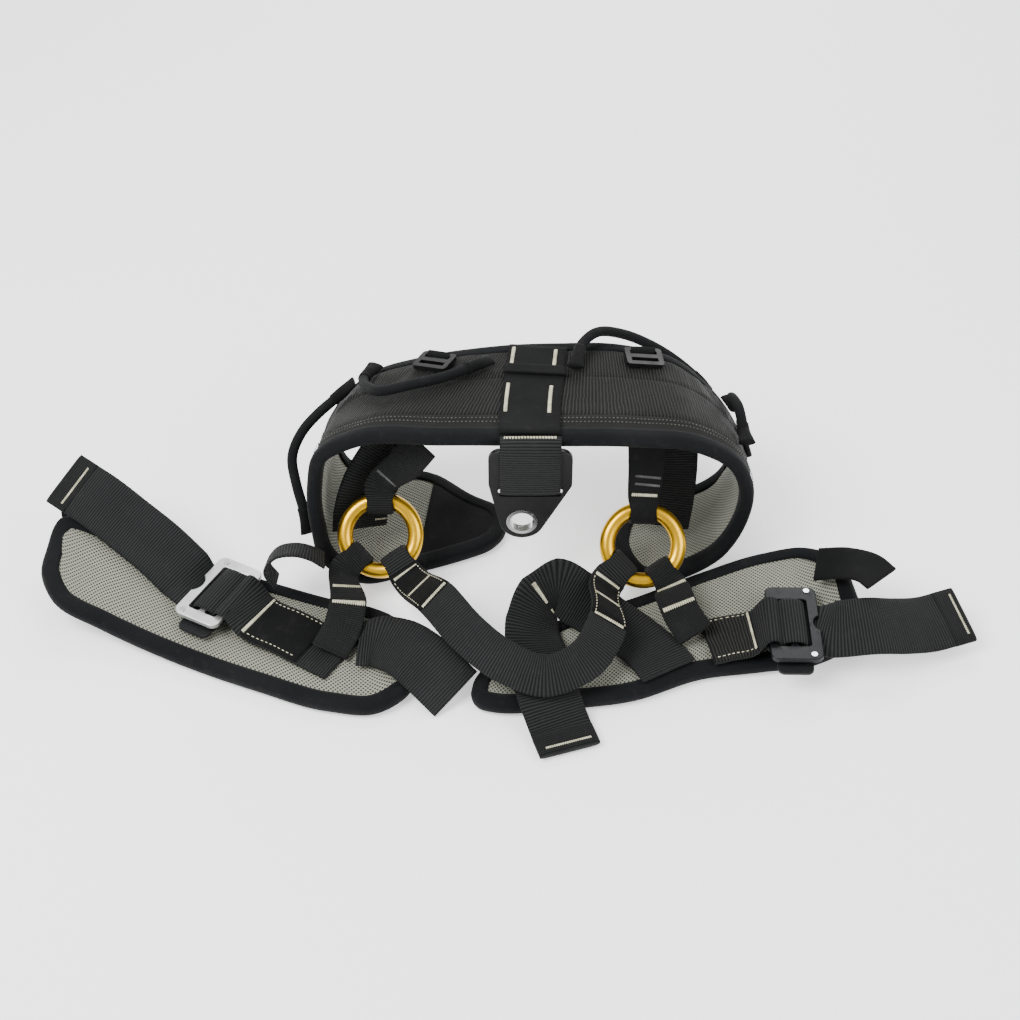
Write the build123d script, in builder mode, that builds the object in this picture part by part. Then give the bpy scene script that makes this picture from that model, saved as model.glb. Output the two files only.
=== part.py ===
"""A tree climbing saddle lying on its front: waist belt arched up, leg loops spread out in front.

Millimetres. +Z up, +Y from the leg loops towards the waist belt, +X to the right.
The origin is under the middle of the saddle's box, on the surface that it lies on.
"""
from build123d import *
import math
import os

# ---------------------------------------------------------------- driving dimensions
CENTRE = Vector(-5.6, 13.8, -0.77)  # middle of the footprint, from the middle of the waist opening

WEBBING = 2.4                   # thickness of load webbing
WIDE = 45.0                     # width of the back, hip and leg webbing
BRIDGE = 31.0                   # width of the bridge and ring webbing
LINK = 28.0                     # width of the link and riser webbing
TIP = 5.2                       # thickness of a webbing end, folded over and sewn
TIP_LENGTH = 14.0

CORE = 6.0                      # thickness of the foam in belt and leg pads
COVER = 1.0                     # thickness of the outer cover and of the mesh lining
GAP = 0.2                       # between sewn layers
BINDING_WIDTH = 11.0            # how far the edge binding reaches over a face
BINDING = 1.0                   # thickness of the binding tape
BAND = 1.2                      # thickness of the ribbed bands sewn round the belt
COVER_TOP = CORE / 2 + GAP + COVER    # outer face of the cover, from the middle surface
BAND_LOW = COVER_TOP + GAP            # underside of the bands

RING_RADIUS = 27.0              # of a ring, to the middle of its bar
RING_BAR = 6.0                  # radius of a ring's bar
RING_CLEARANCE = 1.0            # of folded webbing from a ring's bar
GATHERED = 0.7                  # share of its width that webbing keeps inside a ring
LOOP_TUBE = 4.0                 # radius of a gear loop's tube
LOOP_GAP = 2.8                  # room for a gear loop's end to tilt in front of its sewn tab
ANCHOR = 6.0                    # length of a gear loop's sewn tab

PLATE_WIDTH = 62.0
PLATE = 5.0                     # thickness of the back plate
PLATE_HOLE = 9.0                # clear radius of the back plate's eyelet
PLATE_X = 15.0                  # the back plate and centre strap stand here
PLATE_Y = 33.0
BAR_LOW = 98.0                  # underside of the bar at the top of the back plate
BAR_HIGH = 134.0
SLOT = 7.4                      # height of the back plate's webbing slot
SLOT_ROOM = 3.0                 # a slot is this much longer than its webbing is wide
FOOT = 17.0                     # radius of the plate's tapered foot
EYE_Z = 66.0                    # height of the back plate's hole
EYE_SHIFT = -6.0                # the hole stands to the left of the slot
EYELET_WALL = 1.4
EYELET_RIM = 0.8                # height of the liner's rolled rim

BUCKLE = 4.0                    # thickness of a buckle frame
BUCKLE_WIDTH = 38.0             # along the webbing
BUCKLE_BAR = 6.0                # width of the bar that the sewn webbing folds round
BUCKLE_SLOT = 9.5               # width of each webbing slot
MIDDLE_BAR = 5.0                # width of the bar between the slots
BUCKLE_DROP = 8.5               # from the fixed bar down to the tab under the buckle

LOCK_FOLD = 3.7                 # radius of the thin webbing round an adjuster's bar
LOCK_LIFT = 5.0                 # of an adjuster over the belt's bands

STEPS = 3                       # sections to each span of a strap or pad
X_AXIS = Vector(1, 0, 0)
UPWARDS = Vector(0, 0, 1)
FORWARDS = Vector(0, -0.74, 0.67)   # the way that the rings and most of the front webbing face
TILTED = Vector(0, -0.35, 0.94)     # the way that the webbing tails face

# ---------------------------------------------------------------- outlines of the padded parts
# Pairs of points across the middle surface: front edge, back edge.
BELT = [
    ((-6, 70, 6), (-2, 108, 6)),
    ((-34, 56, 6), (-28, 122, 6)),
    ((-78, 39, 6), (-66, 152, 6)),
    ((-115, 29, 6), (-108, 157, 7)),
    ((-140, 36, 16), (-135, 151, 24)),
    ((-147, 38, 50), (-145, 155, 46)),
    ((-148, 43, 86), (-134, 153, 78)),
    ((-142, 45, 114), (-109, 157, 104)),
    ((-118, 46, 129), (-63, 154, 124)),
    ((-51, 44, 133), (-8, 157, 132)),
    ((22, 42, 134), (39, 159, 133)),
    ((95, 42, 133), (86, 160, 131)),
    ((139, 43, 127), (126, 156, 121)),
    ((168, 43, 109), (154, 155, 95)),
    ((179, 44, 82), (175, 156, 63)),
    ((176, 45, 50), (186, 156, 36)),
    ((160, 43, 18), (178, 153, 13)),
    ((126, 31, 6), (148, 134, 6)),
    ((101, 28, 6), (114, 122, 6)),
    ((78, 44, 6), (91, 112, 6)),
]
LEFT_PAD = [
    ((-352, -3, 36), (-353, 27, 40)),
    ((-338, -17, 26), (-347, 55, 44)),
    ((-307, -30, 16), (-302, 52, 31)),
    ((-244, -58, 7), (-240, 38, 15)),
    ((-183, -84, 6), (-180, 19, 8)),
    ((-130, -103, 6), (-133, 3, 6)),
    ((-96, -105, 6), (-104, -8, 9)),
    ((-76, -92, 8), (-86, -20, 11)),
    ((-64, -78, 12), (-74, -38, 15)),
]
RIGHT_PAD = [
    ((-29, -99, 6), (-24, -70, 6)),
    ((-10, -104, 6), (-2, -50, 6)),
    ((36, -101, 6), (38, -18, 6)),
    ((89, -93, 6), (94, 5, 6)),
    ((140, -72, 6), (148, 31, 8)),
    ((184, -65, 6), (195, 46, 14)),
    ((229, -58, 8), (229, 45, 22)),
    ((252, -46, 13), (251, 24, 30)),
    ((262, -38, 20), (258, -6, 31)),
]


# ---------------------------------------------------------------- curves
def at(x, y, z):
    """A point of the saddle in the part's own frame."""
    return Vector(x, y, z) - CENTRE


def smooth(points, steps=STEPS):
    """Points along a smooth curve through the given vectors, spaced by the spans between them."""
    spans = [(b - a).length for a, b in zip(points, points[1:])]
    slopes = [(points[1] - points[0]) / spans[0]]
    for i in range(1, len(spans)):
        before = (points[i] - points[i - 1]) / spans[i - 1]
        after = (points[i + 1] - points[i]) / spans[i]
        slopes.append((before * spans[i] + after * spans[i - 1]) / (spans[i - 1] + spans[i]))
    slopes.append((points[-1] - points[-2]) / spans[-1])
    result = []
    for i, span in enumerate(spans):
        for step in range(steps):
            t = step / steps
            start = points[i] * (2 * t**3 - 3 * t**2 + 1) + slopes[i] * span * (t**3 - 2 * t**2 + t)
            end = points[i + 1] * (3 * t**2 - 2 * t**3) + slopes[i + 1] * span * (t**3 - t**2)
            result.append(start + end)
    return result + [points[-1]]


def blended(values, steps=STEPS):
    """Vectors turned evenly from each of the given ones to the next."""
    result = []
    for a, b in zip(values, values[1:]):
        result += [a + (b - a) * (step / steps) for step in range(steps)]
    return result + [values[-1]]


def arc(centre, out, face, radius, turns):
    """Points round a bar, by their turn in degrees from its outer side towards its face."""
    turned = [math.radians(turn) for turn in turns]
    return [centre + (out * math.cos(turn) + face * math.sin(turn)) * radius for turn in turned]


def tangents(points):
    """Unit directions along a run of points."""
    before = [points[0]] + points[:-1]
    after = points[1:] + [points[-1]]
    return [(b - a).normalized() for a, b in zip(before, after)]


def facing(route, face=FORWARDS, banks=None):
    """Stations of a strap whose face looks one way, apart from those that bank, by their number."""
    points = [at(*point) for point in route]
    faces = [Vector(*banks[i]) if banks and i in banks else face for i in range(len(points))]
    return [(p, t.cross(f).normalized()) for p, t, f in zip(points, tangents(points), faces)]


def lying(route, side):
    """Stations of a strap whose width keeps one direction."""
    return [(at(*point), Vector(*side).normalized()) for point in route]


# ---------------------------------------------------------------- webbing
def webbing(stations, width, thickness=WEBBING):
    """A flat strip lofted along its stations. The length of a side scales the width there."""
    path = smooth([point for point, side in stations])
    sides = blended([side for point, side in stations])
    with BuildPart() as strip:
        for point, along, side in zip(path, tangents(path), sides):
            with BuildSketch(Plane(point, x_dir=side, z_dir=along)):
                Rectangle(width * side.length, thickness)
        loft(ruled=True)
    return strip


def end_block(stations, width, length, thickness=TIP):
    """The folded and sewn end of a strap, centred on its last station."""
    point, side = stations[-1]
    along = tangents(smooth([station for station, _ in stations]))[-1]
    with BuildPart() as tip:
        with BuildSketch(Plane(point + along * GAP, x_dir=side, z_dir=along)):
            RectangleRounded(width, thickness, thickness * 0.4)
        extrude(amount=length)
    return tip


class Ring:
    """Where a ring lies: it faces forwards, and angles run anticlockwise as it is faced."""

    def __init__(self, centre):
        self.centre = at(*centre)
        self.face = FORWARDS.normalized()
        self.up = self.face.cross(X_AXIS).normalized()

    def outwards(self, degrees):
        angle = math.radians(degrees)
        return X_AXIS * math.cos(angle) + self.up * math.sin(angle)

    def fold(self, degrees, width, leaving):
        """Stations of webbing folded round the bar, from behind it to its front, or the reverse."""
        half = math.asin(GATHERED * width / 2 / RING_RADIUS)
        bow = RING_RADIUS * (1 - math.cos(half)) / 2
        radius = RING_BAR + bow + RING_CLEARANCE + WEBBING / 2
        out = self.outwards(degrees)
        side = out.cross(self.face) * GATHERED
        middle = self.centre + out * (RING_RADIUS - bow)
        stations = [(point, side) for point in arc(middle, out, self.face, radius, range(315, 89, -45))]
        stations.append((stations[-1][0] + out * 9, side * (0.5 + 0.5 / GATHERED)))
        if leaving:
            return stations
        return [(point, -side) for point, side in reversed(stations)]


LEFT_RING = Ring((-99, 39, 44))
RIGHT_RING = Ring((101, 28, 44))


def ring(place):
    with BuildPart() as loop:
        with BuildSketch(Plane(place.centre, x_dir=X_AXIS, z_dir=place.up)):
            with Locations((RING_RADIUS, 0)):
                Circle(RING_BAR)
        revolve(axis=Axis(place.centre, place.face))
    return loop


# ---------------------------------------------------------------- padded parts
def frames(outline):
    """A plane on the front edge at each step along a padded part, X across and Z along, and the width."""
    front = smooth([at(*pair[0]) for pair in outline])
    back = smooth([at(*pair[1]) for pair in outline])
    middle = [(a + b) * 0.5 for a, b in zip(front, back)]
    result = []
    for a, b, along in zip(front, back, tangents(middle)):
        across = (b - a).normalized()
        normal = along.cross(across).normalized()
        result.append((Plane(a, x_dir=across, z_dir=across.cross(normal)), (b - a).length))
    return result


def layer(outline, low, high):
    """A layer of a padded part between two heights, from edge to edge."""
    with BuildPart() as sheet:
        for plane, width in frames(outline):
            with BuildSketch(plane):
                with Locations((width / 2, (low + high) / 2)):
                    Rectangle(width - 2 * GAP, high - low)
        loft(ruled=True)
    return sheet


def belt_band(low, start, finish, wide=None):
    """A ribbed band sewn round the belt, set in from its front and back edges, short of both tips."""
    with BuildPart() as sheet:
        for plane, width in frames(BELT)[7:-4]:
            size = wide or width - start - finish
            with BuildSketch(plane):
                with Locations((width - finish - size / 2, low + BAND / 2)):
                    Rectangle(size, BAND)
        loft(ruled=True)
    return sheet


def binding(outline):
    """Tape folded over all four edges of a padded part."""
    slot = CORE / 2 + COVER + 2 * GAP
    height = 2 * (slot + BINDING)
    places = frames(outline)
    with BuildPart() as tape:
        for back_edge in (False, True):
            for plane, width in places:
                edge = width if back_edge else 0
                inwards = -1 if back_edge else 1
                with BuildSketch(plane):
                    with Locations((edge + inwards * (BINDING_WIDTH - BINDING) / 2, 0)):
                        Rectangle(BINDING_WIDTH + BINDING, height)
                    with Locations((edge + inwards * BINDING_WIDTH / 2, 0)):
                        Rectangle(BINDING_WIDTH + GAP, 2 * slot, mode=Mode.SUBTRACT)
            loft(ruled=True)
    return tape


def end_binding(outline):
    """Tape that caps the two ends of a padded part, between the long bindings."""
    slot = CORE / 2 + COVER + 2 * GAP
    places = frames(outline)
    with BuildPart() as caps:
        for outwards, (plane, width) in ((-1, places[0]), (1, places[-1])):
            with BuildSketch(plane.offset(outwards * GAP)):
                with Locations((width / 2, 0)):
                    Rectangle(width, 2 * slot)
            extrude(amount=outwards * 2 * BINDING)
    return caps


def on_belt(station, across, height):
    """A point over the belt, its station along it, its distance from the front edge and its height."""
    plane, _ = frames(BELT)[round(station * STEPS)]
    return plane.origin + plane.x_dir * across + plane.y_dir * height


def belt_plane(station, across, height):
    """A plane on the belt: X along it, Y towards its back edge, Z outwards."""
    plane, _ = frames(BELT)[round(station * STEPS)]
    return Plane(on_belt(station, across, height), x_dir=plane.z_dir, z_dir=plane.y_dir)


# ---------------------------------------------------------------- hardware
def tube(points, radius=LOOP_TUBE, sides=12):
    """A stiff gear loop: a tube of many flats along a smooth path."""
    path = smooth(points)
    with BuildPart() as loop:
        for point, along in zip(path, tangents(path)):
            with BuildSketch(Plane(point, x_dir=along.cross(Vector(0.3, 0.5, 0.8)), z_dir=along)):
                RegularPolygon(radius, sides)
        loft(ruled=True)
    return loop


def adjuster_plane(station):
    """Where an adjuster's hinge stands on the belt."""
    return belt_plane(station, 102, BAND_LOW + BAND + LOCK_LIFT)


def anchors(loops):
    """Sewn tabs that hold the ends of the gear loops, one solid at each end."""
    with BuildPart() as tabs:
        for points in loops:
            path = smooth(points)
            for end, before in ((path[0], path[1]), (path[-1], path[-2])):
                out = (end - before).normalized()
                with BuildSketch(Plane(end + out * LOOP_GAP, z_dir=out)):
                    RectangleRounded(2.4 * LOOP_TUBE, 2.4 * LOOP_TUBE, 2.0)
                extrude(amount=ANCHOR)
    return tabs


def back_plate():
    """A moulded plate: a slot for the webbing at its top and an eye at its tapered foot."""
    with BuildPart() as plate:
        with BuildSketch(Plane(at(PLATE_X, PLATE_Y, 0), x_dir=X_AXIS, z_dir=(0, -1, 0))):
            with Locations((0, BAR_HIGH - 20)):
                RectangleRounded(PLATE_WIDTH, 40, 9)
            with Locations((EYE_SHIFT, EYE_Z)):
                Circle(FOOT)
            make_hull()
            with Locations((0, BAR_LOW - SLOT / 2)):
                RectangleRounded(WIDE + SLOT_ROOM, SLOT, 2, mode=Mode.SUBTRACT)
            with Locations((EYE_SHIFT, EYE_Z)):
                Circle(PLATE_HOLE + EYELET_WALL, mode=Mode.SUBTRACT)
        extrude(amount=PLATE / 2, both=True)
        edges = plate.edges().filter_by(Axis.Y, reverse=True)
        fillet(edges.filter_by(GeomType.LINE), 0.8)
    return plate


def eyelet():
    """The metal liner of the plate's eye, with a rolled rim on each face."""
    rim = PLATE / 2 + EYELET_RIM
    with BuildPart() as liner:
        centre = at(PLATE_X + EYE_SHIFT, PLATE_Y, EYE_Z)
        with BuildSketch(Plane(centre, x_dir=X_AXIS, z_dir=(0, -1, 0))):
            Circle(PLATE_HOLE + EYELET_WALL - 0.02)
            Circle(PLATE_HOLE, mode=Mode.SUBTRACT)
        extrude(amount=rim, both=True)
        for side in (-1, 1):
            face = centre + Vector(0, side * (PLATE / 2 + 0.02), 0)
            with BuildSketch(Plane(face, x_dir=X_AXIS, z_dir=(0, side, 0))):
                Circle(PLATE_HOLE + 2 * EYELET_WALL)
                Circle(PLATE_HOLE, mode=Mode.SUBTRACT)
            extrude(amount=EYELET_RIM)
    return liner


class Buckle:
    """Where a buckle lies: the middle of its fixed bar, the way to its webbing tail and its length."""

    def __init__(self, bar, tail, length, notch):
        self.bar = at(*bar)
        self.tail = Vector(*tail).normalized()
        self.side = UPWARDS.cross(self.tail).normalized()
        self.face = self.tail.cross(self.side).normalized()
        self.length = length
        self.notch = notch

    def plane(self, height=0.0):
        """X towards the tail, Y along the bar, Z out of the face."""
        return Plane(self.bar + self.face * height, x_dir=self.tail, z_dir=self.face)

    def fold(self):
        """Stations of webbing folded round the fixed bar, from under it to its top."""
        radius = math.hypot(BUCKLE / 2, BUCKLE_BAR / 2) + 0.7 + WEBBING / 2
        points = arc(self.bar, self.tail, self.face, radius, range(-140, 141, 40))
        return [(point, self.side) for point in points]


def buckle_frame(place):
    """A two-slot frame: a fixed bar, a middle bar and a scooped lip on the tail side."""
    bars = BUCKLE_BAR / 2
    with BuildPart() as frame:
        with BuildSketch(place.plane()):
            with Locations((BUCKLE_WIDTH / 2 - bars, 0)):
                RectangleRounded(BUCKLE_WIDTH, place.length, 6)
            for start in (bars, bars + BUCKLE_SLOT + MIDDLE_BAR):
                with Locations((start + BUCKLE_SLOT / 2, 0)):
                    RectangleRounded(BUCKLE_SLOT, WIDE + SLOT_ROOM, 2, mode=Mode.SUBTRACT)
            with Locations((BUCKLE_WIDTH - bars + place.notch, 0)):
                Circle(place.notch + 4.5, mode=Mode.SUBTRACT)
        extrude(amount=BUCKLE / 2, both=True)
        rim = frame.edges().filter_by(Axis((0, 0, 0), place.face), reverse=True)
        fillet(rim, 0.7)
    return frame


def buckle_wrap(place):
    """The tail's webbing where it turns over the buckle's middle bar."""
    middle = (BUCKLE_BAR + MIDDLE_BAR) / 2 + BUCKLE_SLOT
    radius = MIDDLE_BAR / 2 + 0.4 + WEBBING / 2
    with BuildPart() as wrap:
        with BuildSketch(Plane(place.bar + place.tail * middle, x_dir=place.tail, z_dir=-place.side)):
            SlotCenterToCenter(1.6, 2 * (radius + WEBBING / 2))
            SlotCenterToCenter(1.6, 2 * (radius - WEBBING / 2), mode=Mode.SUBTRACT)
        extrude(amount=WIDE / 2, both=True)
    return wrap


def buckle_base(place):
    """A stiff tab under the buckle that keeps it off the leg pad."""
    with BuildPart() as base:
        with BuildSketch(place.plane(-BUCKLE_DROP)):
            with Locations((BUCKLE_WIDTH / 2 - 4, 0)):
                RectangleRounded(BUCKLE_WIDTH - 12, place.length + 12, 5)
        extrude(amount=2.0)
    return base


def rivets(place):
    """Small studs in the two horns of the buckle's lip."""
    with BuildPart() as studs:
        with BuildSketch(place.plane(BUCKLE / 2)):
            for side in (-1, 1):
                with Locations((BUCKLE_WIDTH - BUCKLE_BAR / 2 - 7, side * (place.length / 2 - 4.5))):
                    Circle(2.2)
        extrude(amount=0.8)
    return studs


def ladder_lock(plane):
    """A small four-bar adjuster lying on the belt, hinged at its back bar."""
    with BuildPart() as lock:
        with BuildSketch(plane):
            with Locations((0, -8)):
                RectangleRounded(29, 22, 3)
            for slot in (-3.2, -12.4):
                with Locations((0, slot)):
                    Rectangle(21, 4.4, mode=Mode.SUBTRACT)
        extrude(amount=1.7, both=True)
    return lock


def lock_tab(plane):
    """Thin webbing folded round the adjuster's back bar and sewn down behind it."""
    turns = (90, 135, 180, 225, 270)
    fold = arc(plane.origin + plane.y_dir, plane.y_dir, plane.z_dir, LOCK_FOLD, turns)
    tail = [fold[-1] + plane.y_dir * reach for reach in (5, 9)]
    return webbing([(point, plane.x_dir) for point in fold + tail], 19, 1.2)


# ---------------------------------------------------------------- routes of the webbing
LEFT_BUCKLE = Buckle((-205, -13, 26), (-0.885, 0.466, 0.02), 66, 6)
RIGHT_BUCKLE = Buckle((193, -40, 28), (0.995, -0.03, 0.02), 74, 4)

CENTRE_STRAP = [(14, 43, 141.6), (16, 85, 141.4), (19, 118, 141), (22, 150, 140.6)]
STRAP_KEEPER = [(18.5, 112, 144), (19.4, 122, 144)]
BRIDGE_ROUTE = [(-52, -36, 48), (-29, -66, 43), (-4, -86, 37), (25, -97, 34), (54, -84, 37), (70, -56, 41)]
LEFT_LINK_ROUTE = [(-121, -17, 28), (-124, -38, 23), (-132, -60, 20)]
RIGHT_LINK_ROUTE = [(122, -8, 30), (128, -28, 26), (137, -46, 23)]
LEFT_RING_STRAP = [(-66, 60, 117), (-79, 58, 100)]
RIGHT_RING_STRAP = [(102, 62, 121), (103, 60, 100)]
LEFT_HIP = [(-78, 82, 108), (-94, 76, 90), (-107, 70, 70), (-115, 64, 48), (-117, 60, 32)]
HIP_FACE = Vector(0.45, -0.62, 0.64)
RIGHT_HIP = [(120, 92, 112), (122, 84, 84), (121, 78, 50), (118, 72, 24)]
LEFT_TAIL = [(-246, 10, 31), (-267, 27, 41), (-292, 45, 50), (-317, 63, 58), (-334, 74, 62)]
LEFT_TAIL_FACE = Vector(0, -0.55, 0.83)
RIGHT_TAIL = [(238, -46, 29), (262, -48, 34), (290, -40, 26), (312, -32, 20), (326, -27, 20)]
LEFT_BLOCK = [(-191, -23, 20), (-163, -38, 16), (-141, -51, 14), (-123, -62, 13)]
RIGHT_BLOCK = [(180, -41, 20), (162, -43, 16), (146, -46, 14)]
LEFT_WRAP = [
    (-111, -49, 16.5), (-98, -50, 20), (-82, -58, 24), (-66, -72, 25), (-49, -86, 17), (-39, -92, 9),
]
LEFT_WRAP_FACE = Vector(0, -0.5, 0.87)
LEFT_WRAP_BANKS = {0: (0, 0, 1), 1: (0, -0.2, 0.98), 2: (0, -0.35, 0.94)}
RIGHT_WRAP = [
    (116, -74, 14), (108, -60, 14.5), (92, -40, 15), (72, -23, 17), (52, -12, 26), (35, -9, 35),
    (22, -19, 33), (17, -38, 25), (19, -60, 19.5), (24, -84, 16), (29, -104, 15),
    (33, -114, 9), (36, -121, 5.2), (38, -127, 4.8),
]
RIGHT_WRAP_BANKS = {
    3: (0, -0.1, 1), 4: (0.15, -0.5, 0.85), 5: (0.45, -0.8, 0.5),
    6: (0.75, -0.3, 0.6), 7: (0.45, 0, 0.9),
}
LEFT_RISER = [(-176, 2, 31), (-183, 6, 42), (-176, 12, 50), (-162, 14, 52), (-149, 13, 49), (-140, 12, 43)]
PAD_LOOP = [(-318, 26, 20), (-326, 46, 26), (-334, 64, 34), (-335, 68, 44)]
PAD_STRAP = [(232, 14, 37), (250, 6, 46), (266, -6, 52), (274, -18, 53)]

ADJUSTERS = {"left_adjuster": 8.33, "right_adjuster": 11.33}
GEAR_LOOPS = {
    "left_side_gear_loop": [on_belt(*point) for point in (
        (7, 84, 13), (6.67, 82, 13.5), (6.33, 74, 18), (6, 64, 23),
        (5.67, 50, 25), (5.33, 38, 19), (5, 28, 14), (4.67, 24, 13),
    )],
    "left_back_gear_loop": [on_belt(*point) for point in (
        (9, 84, 13), (8.67, 66, 13.5), (8.33, 54, 14), (8, 52, 14),
        (7.67, 62, 14), (7.33, 86, 13.5), (7.33, 98, 13),
    )],
    "right_back_gear_loop": [
        at(51, 124, 147), at(55, 142, 148), at(68, 160, 147), at(88, 170, 138), at(116, 170, 124),
        at(138, 169, 107), at(156, 168, 88),
    ],
    "right_side_gear_loop": [on_belt(*point) for point in (
        (13.33, 96, 13), (13.33, 88, 13.5), (13, 80, 18), (13, 64, 20), (13.33, 50, 13.5), (13.33, 42, 13),
    )],
}


# ---------------------------------------------------------------- the saddle's groups
def padded():
    """The belt and both leg pads in layers, and the bands round the belt."""
    face = CORE / 2
    pieces = {}
    for name, outline in (("belt", BELT), ("left_pad", LEFT_PAD), ("right_pad", RIGHT_PAD)):
        inwards = 1 if name == "belt" else -1
        low, high = sorted((inwards * (face + GAP), inwards * COVER_TOP))
        pieces[name + "_foam"] = layer(outline, -face, face)
        pieces[name + "_cover"] = layer(outline, low, high)
        pieces[name + "_mesh"] = layer(outline, -high, -low)
        pieces[name + "_binding"] = binding(outline)
        pieces[name + "_end_binding"] = end_binding(outline)
    pieces["belt_main_band"] = belt_band(BAND_LOW, 26, 46)
    pieces["belt_back_band"] = belt_band(BAND_LOW, 0, 13, 31)
    return pieces


def plate_loop():
    """Webbing that comes over the belt's edge, turns through the plate's slot and runs back up."""
    half = PLATE / 2 + 0.7 + WEBBING / 2
    front, back = PLATE_Y - half, PLATE_Y + half
    loop = [(PLATE_X, 38, 141.6), (PLATE_X, 32, 139.4), (PLATE_X, front + 0.6, 134)]
    loop += [(PLATE_X, front, z) for z in (128, 114, 102)]
    for turn in (180, 225, 270, 315, 360):
        angle = math.radians(turn)
        loop.append((PLATE_X, PLATE_Y + half * math.cos(angle), BAR_LOW + half * math.sin(angle)))
    loop += [(PLATE_X, back, z) for z in (102, 110, 118)]
    return webbing(lying(loop, X_AXIS), WIDE)


def back_hanger():
    """The plate behind the waist and the straps that hold it."""
    return {
        "centre_strap": webbing(lying(CENTRE_STRAP, X_AXIS), WIDE),
        "strap_keeper": webbing(lying(STRAP_KEEPER, X_AXIS), WIDE + SLOT_ROOM),
        "plate_loop": plate_loop(),
        "back_plate": back_plate(),
        "plate_eyelet": eyelet(),
    }


def belt_fittings():
    """Adjusters, gear loops and a tab, with their sewn tabs."""
    places = {name: adjuster_plane(station) for name, station in ADJUSTERS.items()}
    pieces = {name: ladder_lock(place) for name, place in places.items()}
    with BuildPart() as tabs:
        for place in places.values():
            add(lock_tab(place).part)
    pieces["adjuster_tabs"] = tabs
    for name, points in GEAR_LOOPS.items():
        pieces[name] = tube(points)
    pieces["gear_loop_tabs"] = anchors(GEAR_LOOPS.values())
    with BuildPart() as side_tab:
        with BuildSketch(belt_plane(14, 78, BAND_LOW + BAND + 1)):
            RectangleRounded(24, 20, 3)
        extrude(amount=TIP)
    pieces["side_tab"] = side_tab
    return pieces


def rings_and_bridge():
    """Both rings with every strap that folds round them."""
    ends = LEFT_RING.fold(-56, BRIDGE, True), RIGHT_RING.fold(-136, BRIDGE, False)
    left_link = LEFT_RING.fold(-136, LINK, True) + facing(LEFT_LINK_ROUTE)
    right_link = RIGHT_RING.fold(-56, LINK, True) + facing(RIGHT_LINK_ROUTE)
    return {
        "left_ring": ring(LEFT_RING),
        "right_ring": ring(RIGHT_RING),
        "bridge_strap": webbing(ends[0] + facing(BRIDGE_ROUTE) + ends[1], BRIDGE),
        "left_link": webbing(left_link, LINK),
        "right_link": webbing(right_link, LINK),
        "left_ring_strap": webbing(facing(LEFT_RING_STRAP) + LEFT_RING.fold(90, LINK, False), LINK),
        "right_ring_strap": webbing(facing(RIGHT_RING_STRAP) + RIGHT_RING.fold(90, LINK, False), LINK),
        "left_hip_strap": webbing(facing(LEFT_HIP, HIP_FACE), WIDE),
        "right_hip_strap": webbing(facing(RIGHT_HIP), WIDE),
    }


def buckles():
    """Both leg buckles with the straps sewn to them."""
    pieces = {}
    for name, place, route in (("left", LEFT_BUCKLE, LEFT_BLOCK), ("right", RIGHT_BUCKLE, RIGHT_BLOCK)):
        pieces[name + "_block_strap"] = webbing(place.fold() + lying(route, place.side), WIDE)
        pieces[name + "_buckle"] = buckle_frame(place)
        pieces[name + "_buckle_wrap"] = buckle_wrap(place)
        pieces[name + "_buckle_base"] = buckle_base(place)
        pieces[name + "_buckle_rivets"] = rivets(place)
    return pieces


def leg_straps():
    """Webbing on the leg pads: the adjusting tails, the wraps and the short loops."""
    pieces = {}
    for name, route, face, banks in (
        ("left_tail", LEFT_TAIL, LEFT_TAIL_FACE, None),
        ("right_tail", RIGHT_TAIL, TILTED, None),
        ("right_wrap", RIGHT_WRAP, UPWARDS, RIGHT_WRAP_BANKS),
    ):
        pieces[name] = webbing(facing(route, face, banks), WIDE)
        pieces[name + "_tip"] = end_block(facing(route, face), WIDE, TIP_LENGTH)
    pieces["left_wrap"] = webbing(facing(LEFT_WRAP, LEFT_WRAP_FACE, LEFT_WRAP_BANKS), WIDE)
    pieces["left_riser"] = webbing(lying(LEFT_RISER, (0, -0.92, 0.39)), LINK)
    pieces["pad_loop"] = webbing(lying(PAD_LOOP, (1, 0, -0.28)), LINK)
    pieces["pad_strap"] = webbing(facing(PAD_STRAP, TILTED), LINK)
    return pieces


def saddle():
    """Every piece of the saddle, by name."""
    return padded() | back_hanger() | belt_fittings() | rings_and_bridge() | buckles() | leg_straps()


os.makedirs("parts", exist_ok=True)
for name, piece in saddle().items():
    piece.part.label = name
    export_step(piece.part, f"parts/{name}.step")
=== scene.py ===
import bisect
import math

import bmesh
import bpy
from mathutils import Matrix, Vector, noise


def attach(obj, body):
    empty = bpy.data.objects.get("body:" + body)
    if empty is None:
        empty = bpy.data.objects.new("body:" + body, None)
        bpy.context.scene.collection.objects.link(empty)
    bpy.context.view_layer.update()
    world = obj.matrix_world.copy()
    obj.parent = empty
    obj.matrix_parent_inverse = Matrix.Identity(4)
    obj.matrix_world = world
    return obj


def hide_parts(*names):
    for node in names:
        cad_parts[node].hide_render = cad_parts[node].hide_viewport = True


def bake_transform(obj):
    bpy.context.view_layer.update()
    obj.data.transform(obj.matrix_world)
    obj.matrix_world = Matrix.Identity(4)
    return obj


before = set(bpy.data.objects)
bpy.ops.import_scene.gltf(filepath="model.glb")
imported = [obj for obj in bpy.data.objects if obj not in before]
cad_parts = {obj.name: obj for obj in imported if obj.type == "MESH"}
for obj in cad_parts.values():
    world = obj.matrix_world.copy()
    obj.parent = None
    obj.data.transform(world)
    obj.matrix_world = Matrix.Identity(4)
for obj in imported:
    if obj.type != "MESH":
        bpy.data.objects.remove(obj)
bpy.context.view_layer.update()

ROOT = "harness"

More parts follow.
